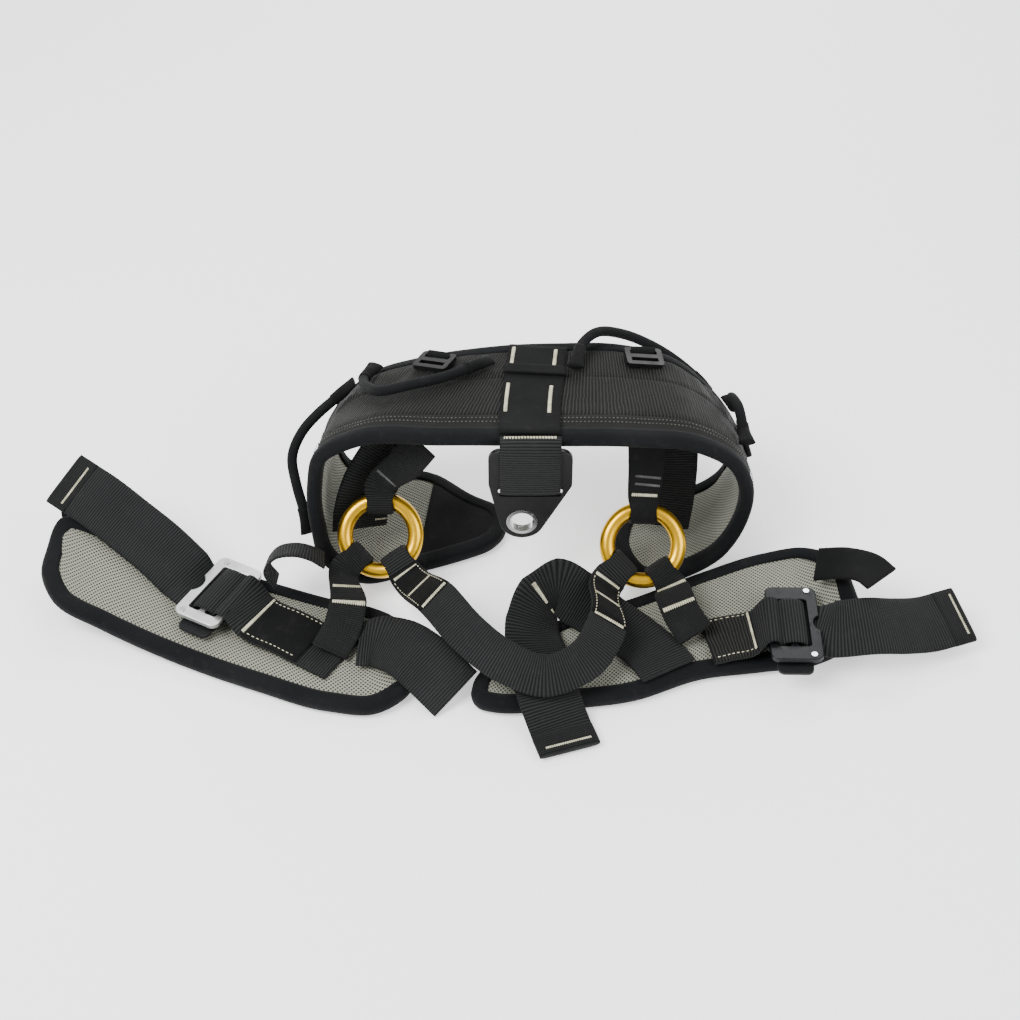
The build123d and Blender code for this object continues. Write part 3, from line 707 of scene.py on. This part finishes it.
RIBBED = webbing_finish("ribbed load webbing", (0.0012, 0.0013, 0.0014), (0.019, 0.0205, 0.0205), 0.0021)
FINE_RIBBED = webbing_finish("fine link webbing", (0.0010, 0.0011, 0.0012), (0.011, 0.012, 0.012), 0.0017)
BELT_RIBBED = webbing_finish(
    "ribbed belt band", (0.0012, 0.0012, 0.0012), (0.022, 0.023, 0.0205), 0.0024, wander=0.9, depth=0.0008,
)
CLOSE_WOVEN = cloth_finish(
    "close woven webbing", (0.0012, 0.0013, 0.0013), (0.0045, 0.005, 0.0049), 0.0011,
)
COVER_CLOTH = cloth_finish("cover cloth", (0.0012, 0.0013, 0.0013), (0.0042, 0.0045, 0.0045), 0.0013)
EDGE_TAPE = cloth_finish(
    "edge binding tape", (0.0018, 0.0020, 0.0024), (0.0052, 0.0058, 0.0068), 0.0009, depth=0.0002,
)
STITCHED_CLOTH = cloth_finish(
    "speckled band cloth", (0.0012, 0.0012, 0.0012), (0.020, 0.021, 0.019), 0.0021, depth=0.0004,
)
SLEEVE = cloth_finish("loop sleeve", (0.002, 0.0022, 0.0024), (0.008, 0.0088, 0.0095), 0.0010)
SPACER_MESH = spacer_mesh_finish()
CREAM_THREAD = thread_finish()
GREY_THREAD = dark_thread_finish()
GOLD = metal_finish(
    "gold anodised aluminium", (0.62, 0.34, 0.004), (0.74, 0.43, 0.010), 0.30, 0.07, 900.0, 0.00001,
    coat=0.2,
)
SILVER = metal_finish(
    "blasted aluminium", (0.50, 0.51, 0.50), (0.66, 0.67, 0.66), 0.42, 0.12, 2600.0, 0.00005,
)
BLACK_METAL = metal_finish(
    "black anodised aluminium", (0.004, 0.0045, 0.005), (0.008, 0.009, 0.010), 0.42, 0.15, 2600.0, 0.00004,
    metallic=0.6,
)
STEEL = metal_finish("bright steel", (0.52, 0.52, 0.52), (0.70, 0.70, 0.70), 0.2, 0.15, 1200.0, 0.00002)
BLACK_PLASTIC = plastic_finish("black moulded nylon", (0.0018, 0.0019, 0.0018), (0.005, 0.0053, 0.005))
GREY_PLASTIC = plastic_finish(
    "dark tab plastic", (0.004, 0.0045, 0.005), (0.010, 0.011, 0.012), 0.6, 0.0002,
)


# ---------------------------------------------------------------- padded parts
class Pad:
    """The middle surface of a padded part, by the distance along it and across it, with rounded ends."""

    def __init__(self, outline):
        self.front = smooth([Vector(pair[0]) for pair in outline])
        self.back = smooth([Vector(pair[1]) for pair in outline])
        middle = [(a + b) / 2 for a, b in zip(self.front, self.back)]
        self.alongs = tangents(middle)
        self.lengths = run_lengths(middle)
        self.total = self.lengths[-1]
        self.corners = [0.42 * (self.back[i] - self.front[i]).length for i in (0, -1)]
        self.rows = self.row_lengths()

    def row_lengths(self):
        """Where the rows of the mesh lie: close together round the ends."""
        first, last = self.corners
        turns = [math.radians(turn) for turn in range(0, 90, 9)]
        rows = [first * (1 - math.cos(turn)) for turn in turns]
        rows += [length for length in self.lengths if first < length < self.total - last]
        return rows + [self.total - last * (1 - math.cos(turn)) for turn in reversed(turns)]

    def row(self, length):
        """The front and back ends of a row and the outward normal there."""
        i = min(max(bisect.bisect(self.lengths, length) - 1, 0), len(self.lengths) - 2)
        t = (length - self.lengths[i]) / (self.lengths[i + 1] - self.lengths[i])
        front = self.front[i].lerp(self.front[i + 1], t)
        back = self.back[i].lerp(self.back[i + 1], t)
        along = self.alongs[i].lerp(self.alongs[i + 1], t)
        across = (back - front).normalized()
        normal = along.cross(across).normalized()
        inset = 0.0
        for radius, distance in zip(self.corners, (length, self.total - length)):
            if distance < radius:
                inset = radius - math.sqrt(max(radius**2 - (radius - distance) ** 2, 0.0))
        return front + across * inset, back - across * inset, normal, inset

    def end_distance(self, length):
        return min(length, self.total - length)

    def height(self, length, across, width):
        """How far the padding stands off the middle surface: thin at the edges, full inside."""
        edge = min(across, width - across, self.end_distance(length) + 3.0)
        return 3.3 + 1.9 * eased((edge - 2.0) / 24.0)


def padded_face(name, pad, sign, material, puffs):
    """One face of a padded part, from the middle surface out, as a closed form."""
    steps = 26
    sections, charts = [], []
    for length in pad.rows:
        front, back, normal, inset = pad.row(length)
        width = (back - front).length
        loop, chart = [], []
        for k in range(steps + 1):
            across = width * k / steps
            rise = pad.height(length, across, width) + puffs(length, across, width)
            loop.append(front.lerp(back, k / steps) + normal * (sign * rise))
            chart.append((length, across + inset))
        for k in range(steps, -1, -1):
            loop.append(front.lerp(back, k / steps) + normal * (sign * 0.2))
            chart.append((length, width * k / steps + inset))
        sections.append(loop)
        charts.append(chart)
    piece = finished(name, lofted(name, sections, charts), material)
    return piece


def edge_tape(name, pad):
    """Tape folded over the whole rim of a padded part."""
    rim, normals = [], []
    for backwards in (False, True):
        for length in (reversed(pad.rows) if backwards else pad.rows):
            front, back, normal, _ = pad.row(length)
            rim.append(back if backwards else front)
            normals.append(normal)
    outer = [(-11, 5.2), (-8, 5.6), (-4, 5.6), (-1, 4.9), (0.8, 3.0), (1.3, 0)]
    outer += [(x, -y) for x, y in reversed(outer[:-1])]
    inner = [(-10.8, -4.0), (-3, -4.2), (-0.8, -2.4), (0, 0), (-0.8, 2.4), (-3, 4.2), (-10.8, 4.0)]
    profile = outer + inner
    sections, charts = [], []
    count = len(rim)
    run = 0.0
    for i, (point, normal) in enumerate(zip(rim, normals)):
        along = (rim[(i + 1) % count] - rim[i - 1]).normalized()
        outwards = along.cross(normal).normalized()
        tuck = 0.25 * noise.noise(Vector((run / 14, 0, len(name))))
        loop = [point + outwards * x + normal * (y * (1 + 0.02 * tuck) + tuck * 0.3) for x, y in profile]
        sections.append(loop)
        charts.append([(run, k * 3.0) for k in range(len(profile))])
        run += (rim[(i + 1) % count] - point).length
    return finished(name, lofted(name, sections, charts, closed=True), EDGE_TAPE)


def quilting(depth, pitch):
    """Soft uneven swells of foam under cloth."""
    def puffs(length, across, width):
        swell = noise.noise(Vector((length / pitch, across / pitch, depth)))
        return depth * swell * eased(min(across, width - across) / 20.0)
    return puffs


def band(name, pad, start, finish, lift, wrinkle, material, first, last):
    """A band sewn round the belt between two distances from its front edge."""
    steps = 18
    sections, charts = [], []
    for length in pad.rows:
        if not first < length < last:
            continue
        front, back, normal, _ = pad.row(length)
        width = (back - front).length
        far = finish if finish > 0 else width + finish
        loop, chart = [], []
        for k in range(steps + 1):
            across = start + (far - start) * k / steps
            edge = min(k, steps - k) / steps
            rise = pad.height(length, across, width) + lift * (0.35 + 0.65 * eased(edge * 9))
            rise += wrinkle * eased(edge * 5) * noise.noise(Vector((length / 6.0, across / 22.0, start)))
            loop.append(front + (back - front).normalized() * across + normal * rise)
            chart.append((length, across))
        for k in range(steps, -1, -1):
            across = start + (far - start) * k / steps
            rise = pad.height(length, across, width) - 0.5
            loop.append(front + (back - front).normalized() * across + normal * rise)
            chart.append((length, across))
        sections.append(loop)
        charts.append(chart)
    return finished(name, lofted(name, sections, charts), material)


def rim_seam(pad, first, last, across, lift):
    """Stitches in a row along a padded part, at a distance from its front edge."""
    pitch, dash = 2.6, 1.4
    result = []
    for k in range(int((last - first) / pitch)):
        ends = []
        for length in (first + k * pitch, first + k * pitch + dash):
            front, back, normal, _ = pad.row(length)
            ends.append(front + (back - front).normalized() * across + normal * lift)
        result.append(tuple(ends))
    return result


BELT_PAD = Pad(BELT)
LEFT_LEG = Pad(LEFT_PAD)
RIGHT_LEG = Pad(RIGHT_PAD)


def tip_painted_shade():
    """A sheet of black cover cloth over the lining at the belt's left tip: painted shade standing in for
    the shadow on the mesh there, not a patch of the real belt.
    """
    reach, steps = 66, 20
    sections, charts = [], []
    for length in BELT_PAD.rows:
        if length > reach:
            break
        front, back, normal, _ = BELT_PAD.row(length)
        width = (back - front).length
        loop, chart = [], []
        for lift, shares in ((0.9, range(steps + 1)), (-0.6, range(steps, -1, -1))):
            for k in shares:
                across = width * k / steps
                rise = BELT_PAD.height(length, across, width) + lift
                loop.append(front.lerp(back, k / steps) - normal * rise)
                chart.append((length, across))
        sections.append(loop)
        charts.append(chart)
    finished("belt_tip_painted_shade", lofted("belt_tip_painted_shade", sections, charts), COVER_CLOTH)


def padded_part(name, pad, cover_sign):
    swells = quilting(0.35, 26.0)
    cover = padded_face(name + "_cloth_cover", pad, cover_sign, COVER_CLOTH, swells)
    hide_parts(name + "_cover", name + "_foam")
    lining = padded_face(name + "_mesh_lining", pad, -cover_sign, SPACER_MESH, swells)
    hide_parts(name + "_mesh")
    tape = edge_tape(name + "_edge_tape", pad)
    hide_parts(name + "_binding", name + "_end_binding")


def belt_bands():
    ends = BELT_PAD.lengths[7 * FINE // 3], BELT_PAD.lengths[-4 * FINE // 3]
    main = band("ribbed_main_band", BELT_PAD, 25, 73, 1.3, 0.35, BELT_RIBBED, *ends)
    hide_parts("belt_main_band")
    back = band("wrinkled_back_band", BELT_PAD, 71, -10, 1.5, 1.6, BELT_RIBBED, *ends)
    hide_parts("belt_back_band")
    band("speckled_front_band", BELT_PAD, 9, 26, 0.8, 0.2, STITCHED_CLOTH, *ends)
    first, last = ends[0] + 4, ends[1] - 4
    stitches = rim_seam(BELT_PAD, first, last, 16, 6.5) + rim_seam(BELT_PAD, first, last, 20.5, 6.7)
    threads("front_band_stitching", stitches, GREY_THREAD, 0.35)


# ---------------------------------------------------------------- straps
def strap_piece(name, strap, material, node=None, body=ROOT):
    piece = finished(name, strap.mesh(name), material, body)
    if node:
        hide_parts(node)
    return piece


def tip_strap(stations, width=WIDE):
    """The folded end of a strap beyond its last station."""
    points = smooth([point for point, side in stations])
    along = tangents(points)[-1]
    side = stations[-1][1]
    return Strap([(points[-1] - along * 3, side), (points[-1] + along * TIP_LENGTH, side)], width, TIP)


def centre_back():
    """The strap over the belt's middle, and its keeper."""
    strap = Strap(lying(CENTRE_STRAP, X_AXIS), WIDE, cup=-0.5, ripple=0.15)
    strap_piece("centre_back_strap", strap, CLOSE_WOVEN, "centre_strap")
    tacks = []
    for across in (-18.5, 14):
        tacks += long_tack(strap, 24, 57, across)
        tacks += long_tack(strap, 83, 103, across)
    threads("centre_strap_tacks", tacks, CREAM_THREAD, 0.55)
    keeper = Strap(lying(KEEPER, X_AXIS), WIDE + 3, ripple=0.3)
    strap_piece("centre_strap_fold", keeper, CLOSE_WOVEN, "strap_keeper")


def plate_hanger():
    """The webbing that comes over the belt's edge, turns through the plate's slot and runs back up."""
    half = PLATE / 2 + 0.7 + WEBBING / 2
    front, back = PLATE_Y - half, PLATE_Y + half
    loop = [(PLATE_X, 38, 141.6), (PLATE_X, 32, 139.4), (PLATE_X, front + 0.6, 134)]
    loop += [(PLATE_X, front, z) for z in (128, 114, 102)]
    for turn in (180, 225, 270, 315, 360):
        angle = math.radians(turn)
        loop.append((PLATE_X, PLATE_Y + half * math.cos(angle), BAR_LOW + half * math.sin(angle)))
    loop += [(PLATE_X, back, z) for z in (102, 110, 118)]
    hanging = Strap(lying(loop, X_AXIS), WIDE, turned=-1, cup=0.4, ripple=0.2)
    piece = strap_piece("plate_webbing", hanging, RIBBED, "plate_loop", None)
    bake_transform(piece)
    stitches = bar_tack(hanging, 1.0, -19, 19, 1.3, 1.1)
    tack = threads("plate_webbing_tack", stitches, CREAM_THREAD, 0.45, None)
    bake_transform(tack)


def bridge():
    ends = LEFT_RING.fold(-56, BRIDGE, True), RIGHT_RING.fold(-136, BRIDGE, False)
    strap = Strap(ends[0] + facing(BRIDGE_ROUTE) + ends[1], BRIDGE, cup=0.3, ripple=0.25)
    strap_piece("bridge_webbing", strap, RIBBED, "bridge_strap")
    for side, first, last in (("left", 41, 105), ("right", 277, 338)):
        ply = strap.mesh("ply", strap.step_at(first), strap.step_at(last), 0.3, 1.1, 0.98)
        finished(side + "_bridge_sewn_ply", ply, CLOSE_WOVEN)
    strap.thickness *= 2.2
    tacks, seams = [], []
    for places in ((45, 72, 101), (280, 310, 334)):
        for place in places:
            tacks += bar_tack(strap, place, -12.5, 12.5)
        for across in (-12.8, 12.8):
            seams += seam(strap, places[0] + 2, places[-1] - 1, across)
    threads("bridge_tacks", tacks, CREAM_THREAD, 0.5)
    threads("bridge_edge_stitching", seams, CREAM_THREAD, 0.35)


def links():
    left = Strap(LEFT_RING.fold(-136, LINK, True) + facing(LEFT_LINK_ROUTE), LINK, ripple=0.2)
    right = Strap(RIGHT_RING.fold(-56, LINK, True) + facing(RIGHT_LINK_ROUTE), LINK, ripple=0.2)
    strap_piece("left_link_webbing", left, FINE_RIBBED, "left_link")
    strap_piece("right_link_webbing", right, FINE_RIBBED, "right_link")
    tacks = bar_tack(left, 64, -12, 12) + bar_tack(left, 80, -12.5, 12.5, 2.0)
    tacks += bar_tack(right, 49, -12.5, 12.5, 1.9) + bar_tack(right, 68, -12.5, 12.5, 2.0)
    threads("link_tacks", tacks, CREAM_THREAD, 0.5)


def ring_straps():
    left = Strap(facing(LEFT_RING_STRAP) + LEFT_RING.fold(90, LINK, False), LINK, ripple=0.2)
    right = Strap(facing(RIGHT_RING_STRAP) + RIGHT_RING.fold(90, LINK, False), LINK, ripple=0.2)
    strap_piece("left_ring_webbing", left, FINE_RIBBED, "left_ring_strap")
    strap_piece("right_ring_webbing", right, CLOSE_WOVEN, "right_ring_strap")
    threads("ring_strap_tack", bar_tack(right, 47, -11, 11, 1.4, 1.0), CREAM_THREAD, 0.45)
    dark = bar_tack(right, 33, -12, 8, 1.2) + bar_tack(right, 39, -12, 8, 1.2)
    dark += bar_tack(left, 42, -11, 11, 1.2)
    threads("ring_strap_dark_tacks", dark, GREY_THREAD, 0.45)


def hip_straps():
    left = Strap(facing(LEFT_HIP, HIP_FACE), WIDE, cup=-0.6, ripple=0.3)
    right = Strap(facing(RIGHT_HIP), WIDE, cup=-0.6, ripple=0.3)
    strap_piece("left_hip_webbing", left, RIBBED, "left_hip_strap")
    strap_piece("right_hip_webbing", right, RIBBED, "right_hip_strap")
    tacks = bar_tack(left, 78, -21, -12, 1.0) + bar_tack(left, 84, -21, -12, 1.0)
    threads("hip_tacks", tacks, CREAM_THREAD, 0.4)


def sewn_blocks():
    """The doubled webbing from each buckle to its leg pad."""
    for name, place, route, first, last in (
        ("left", LEFT_BUCKLE, LEFT_BLOCK, 46, 96), ("right", RIGHT_BUCKLE, RIGHT_BLOCK, 41, 78),
    ):
        strap = Strap(place.fold() + lying(route, place.side), WIDE, ripple=0.1)
        strap_piece(name + "_buckle_webbing", strap, RIBBED, name + "_block_strap")
        cloth = CLOSE_WOVEN if name == "left" else BELT_RIBBED
        ply = strap.mesh("ply", strap.step_at(first - 2), strap.step_at(last), 0.3, 1.15, 0.97)
        finished(name + "_sewn_block", ply, cloth)
        strap.thickness += 2.9
        threads(name + "_block_tack", bar_tack(strap, first, -19.5, 19.5, 1.5), CREAM_THREAD, 0.5)
        rows = seam(strap, first + 3, last - 2, -18.5) + seam(strap, first + 3, last - 2, 18.5)
        threads(name + "_block_stitching", rows, CREAM_THREAD, 0.34)


def folded_end(name, stations, tack_at):
    """The folded end of a strap, with a tack across it."""
    end = tip_strap(stations)
    piece = finished(name + "_folded_end", end.mesh("end"), FINE_RIBBED)
    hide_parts(name + "_tip")
    threads(name + "_end_tack", bar_tack(end, tack_at + 3, -17, 17, 1.0, 0.8), CREAM_THREAD, 0.45)


def tails():
    """The adjusting webbing beyond each buckle, from under its lip to the folded end."""
    for side, route, face, tack_at, buckle in (
        ("left", LEFT_TAIL, LEFT_TAIL_FACE, 1.5, LEFT_BUCKLE),
        ("right", RIGHT_TAIL, TILTED, 9.5, RIGHT_BUCKLE),
    ):
        name = side + "_tail"
        stations = facing(route, face)
        under = [buckle.bar + buckle.tail * reach - buckle.face * 4.0 for reach in (17, 34)]
        hidden = [(point, -buckle.side) for point in under]
        strap = Strap(hidden + stations, WIDE, cup=1.0, ripple=0.3)
        piece = strap_piece(name + "_webbing", strap, RIBBED, name, None)
        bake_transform(piece)
        folded_end(name, stations, tack_at)


def right_wrap():
    """The loose strap that loops over the right leg pad and hangs off its edge."""
    stations = facing(RIGHT_WRAP, UPWARDS, RIGHT_WRAP_BANKS)
    strap = Strap(stations, WIDE, cup=0.5, ripple=0.3)
    strap_piece("right_wrap_webbing", strap, RIBBED, "right_wrap")
    folded_end("right_wrap", stations, 9.0)
    tacks = bar_tack(strap, 127, -6, 15, 1.6) + bar_tack(strap, 127, -20, -13, 1.6)
    threads("right_wrap_tacks", tacks, CREAM_THREAD, 0.5)


def leg_straps():
    wrap = Strap(facing(LEFT_WRAP, LEFT_WRAP_FACE, LEFT_WRAP_BANKS), WIDE, cup=0.8, ripple=0.3)
    strap_piece("left_wrap_webbing", wrap, RIBBED, "left_wrap")
    riser = Strap(lying(LEFT_RISER, (0, -0.92, 0.39)), LINK, ripple=0.2)
    strap_piece("left_riser_webbing", riser, RIBBED, "left_riser")
    loop = Strap(lying(PAD_LOOP, (1, 0, -0.28)), LINK, ripple=0.15)
    strap_piece("left_pad_loop_webbing", loop, CLOSE_WOVEN, "pad_loop")
    strap = Strap(facing(PAD_STRAP, TILTED), LINK, ripple=0.15)
    strap_piece("right_pad_strap_webbing", strap, CLOSE_WOVEN, "pad_strap")


def buckles():
    for name, place, metal in (("left", LEFT_BUCKLE, SILVER), ("right", RIGHT_BUCKLE, BLACK_METAL)):
        wrap = Strap(place.wrap(), WIDE - 1)
        strap_piece(name + "_buckle_turned_webbing", wrap, RIBBED, name + "_buckle_wrap", name + "_buckle")
        coat(name + "_buckle", metal)
        coat(name + "_buckle_rivets", STEEL)
        coat(name + "_buckle_base", GREY_PLASTIC)


# ---------------------------------------------------------------- gear loops, adjusters and tabs
def on_belt(station, across, height):
    """A point over the belt, its station along it, its distance from the front edge and its height."""
    i = round(station * FINE)
    front, back = BELT_PAD.front[i], BELT_PAD.back[i]
    way = (back - front).normalized()
    normal = BELT_PAD.alongs[i].cross(way).normalized()
    return front + way * across + normal * height


GEAR_LOOPS = {
    "left_side_gear_loop": [on_belt(*point) for point in (
        (7, 84, 13), (6.67, 82, 13.5), (6.33, 74, 18), (6, 64, 23),
        (5.67, 50, 25), (5.33, 38, 19), (5, 28, 14), (4.67, 24, 13),
    )],
    "left_back_gear_loop": [on_belt(*point) for point in (
        (9, 84, 13), (8.67, 66, 13.5), (8.33, 54, 14), (8, 52, 14),
        (7.67, 62, 14), (7.33, 86, 13.5), (7.33, 98, 13),
    )],
    "right_back_gear_loop": [Vector(point) for point in (
        (51, 124, 147), (55, 142, 148), (68, 160, 147), (88, 170, 138),
        (116, 170, 124), (138, 169, 107), (156, 168, 88),
    )],
    "right_side_gear_loop": [on_belt(*point) for point in (
        (13.33, 96, 13), (13.33, 88, 13.5), (13, 80, 18), (13, 64, 20), (13.33, 50, 13.5), (13.33, 42, 13),
    )],
}


def tube_sections(path, radii):
    """Round or flattened sections along a path. Each radius is a pair: sideways and upright."""
    sections, charts = [], []
    across = tangents(path)[0].cross(UPWARDS).normalized()
    for point, along, length, (wide, thick) in zip(path, tangents(path), run_lengths(path), radii):
        across = (across - along * across.dot(along)).normalized()
        out = across.cross(along)
        turns = [k * 2 * math.pi / TUBE_SIDES for k in range(TUBE_SIDES)]
        loop = [point + across * (wide * math.cos(t)) + out * (thick * math.sin(t)) for t in turns]
        sections.append(loop)
        charts.append([(length, k * 1.6) for k in range(TUBE_SIDES)])
    return sections, charts


def gear_loop_end(name, end, run):
    """The flattened, sewn webbing that holds one end of a gear loop."""
    out = (run[0] - run[1]).normalized()
    covered = [point for point, length in zip(run, run_lengths(run)) if length < 15]
    sewn = [run[0] + out * 8.0, run[0] + out * 5.5, run[0] + out * 3.0] + covered
    spread = [min(1.0, length / 12) for length in run_lengths(sewn)]
    radii = [(6.6 - 1.9 * share, 2.4 + 2.3 * share) for share in spread]
    sections, charts = tube_sections(sewn, radii)
    mesh = lofted(name, sections, charts)
    piece = finished(f"{name}_{end}_end", mesh, CLOSE_WOVEN, None)
    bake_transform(piece)
    return piece


def gear_loops():
    for name, points in GEAR_LOOPS.items():
        path = smooth(points)
        sections, charts = tube_sections(path, [(LOOP_TUBE, LOOP_TUBE)] * len(path))
        loop = finished(name + "_tube", lofted(name, sections, charts), SLEEVE, name)
        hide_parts(name)
        gear_loop_end(name, "first", path)
        gear_loop_end(name, "last", path[::-1])
    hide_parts("gear_loop_tabs")


def belt_ways(station):
    """The ways along the belt, across it and out of it at a station."""
    i = round(station * FINE)
    way = (BELT_PAD.back[i] - BELT_PAD.front[i]).normalized()
    return BELT_PAD.alongs[i], way, BELT_PAD.alongs[i].cross(way).normalized()


def adjusters():
    """The belt's adjusters, each with thin webbing round its back bar."""
    for name, station in (("left_adjuster", 8.33), ("right_adjuster", 11.33)):
        coat(name, BLACK_PLASTIC)
        _, way, out = belt_ways(station)
        turns = (90, 135, 180, 225, 270)
        fold = arc(on_belt(station, 102, 10.6) + way, way, out, LOCK_FOLD, turns)
        fold += [fold[-1] + way * 5, fold[-1] + way * 9]
        strap = Strap([(point, way.cross(out)) for point in fold], 19, 1.2)
        strap_piece(name + "_tab", strap, CLOSE_WOVEN)
    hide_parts("adjuster_tabs")


def side_tab():
    """The sewn tab on the belt's right side."""
    origin = on_belt(14, 78, 9)
    along, way, _ = belt_ways(14)
    tab = Strap([(origin - along * 12, way), (origin + along * 12, way)], 20, 4.5)
    strap_piece("side_tab_webbing", tab, CLOSE_WOVEN, "side_tab")


# ---------------------------------------------------------------- hardware from the frame
def coat(node, material):
    """Gives a hard part of the frame its finish."""
    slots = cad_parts[node].material_slots
    for slot in slots:
        slot.material = material
    if not slots:
        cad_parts[node].data.materials.append(material)


def hardware():
    coat("left_ring", GOLD)
    coat("right_ring", GOLD)
    coat("back_plate", BLACK_PLASTIC)
    coat("plate_eyelet", STEEL)


# ---------------------------------------------------------------- studio
def floor():
    size = 3.0
    mesh = bpy.data.meshes.new("floor")
    corners = [(-size, -size, 0), (size, -size, 0), (size, size, 0), (-size, size, 0)]
    mesh.from_pydata(corners, [], [(0, 1, 2, 3)])
    mesh.materials.append(floor_finish())
    ground = bpy.data.objects.new("floor", mesh)
    bpy.context.scene.collection.objects.link(ground)


def softbox(name, place, target, size, watts):
    light = bpy.data.lights.new(name, "AREA")
    light.shape = "SQUARE"
    light.size = size
    light.energy = watts
    lamp = bpy.data.objects.new(name, light)
    lamp.location = place
    lamp.rotation_euler = (Vector(target) - Vector(place)).to_track_quat("-Z", "Y").to_euler()
    bpy.context.scene.collection.objects.link(lamp)


def studio():
    floor()
    softbox("key softbox", (-0.9, -0.5, 1.5), (0, 0, 0.05), 1.0, 46)
    softbox("fill softbox", (1.3, -0.9, 1.1), (0, 0, 0.05), 1.2, 22)
    softbox("back softbox", (0.2, 1.5, 1.3), (0, 0, 0.08), 1.2, 26)
    world = bpy.data.worlds.new("studio")
    world.use_nodes = True
    world.node_tree.nodes["Background"].inputs["Color"].default_value = (1, 1, 1, 1)
    world.node_tree.nodes["Background"].inputs["Strength"].default_value = 0.8
    bpy.context.scene.world = world
    lens = bpy.data.cameras.new("camera")
    lens.sensor_width = 36
    lens.lens = 60.88
    camera = bpy.data.objects.new("camera", lens)
    camera.location = (0.0056, -0.94273, 0.94218)
    camera.rotation_euler = (math.radians(48), 0, 0)
    bpy.context.scene.collection.objects.link(camera)
    bpy.context.scene.camera = camera


studio()
padded_part("belt", BELT_PAD, 1)
padded_part("left_pad", LEFT_LEG, -1)
padded_part("right_pad", RIGHT_LEG, -1)
belt_bands()
# painted shade: black cloth over the shaded lining at the belt's left tip
tip_painted_shade()
centre_back()
plate_hanger()
bridge()
links()
ring_straps()
hip_straps()
sewn_blocks()
tails()
right_wrap()
leg_straps()
buckles()
gear_loops()
adjusters()
side_tab()
hardware()
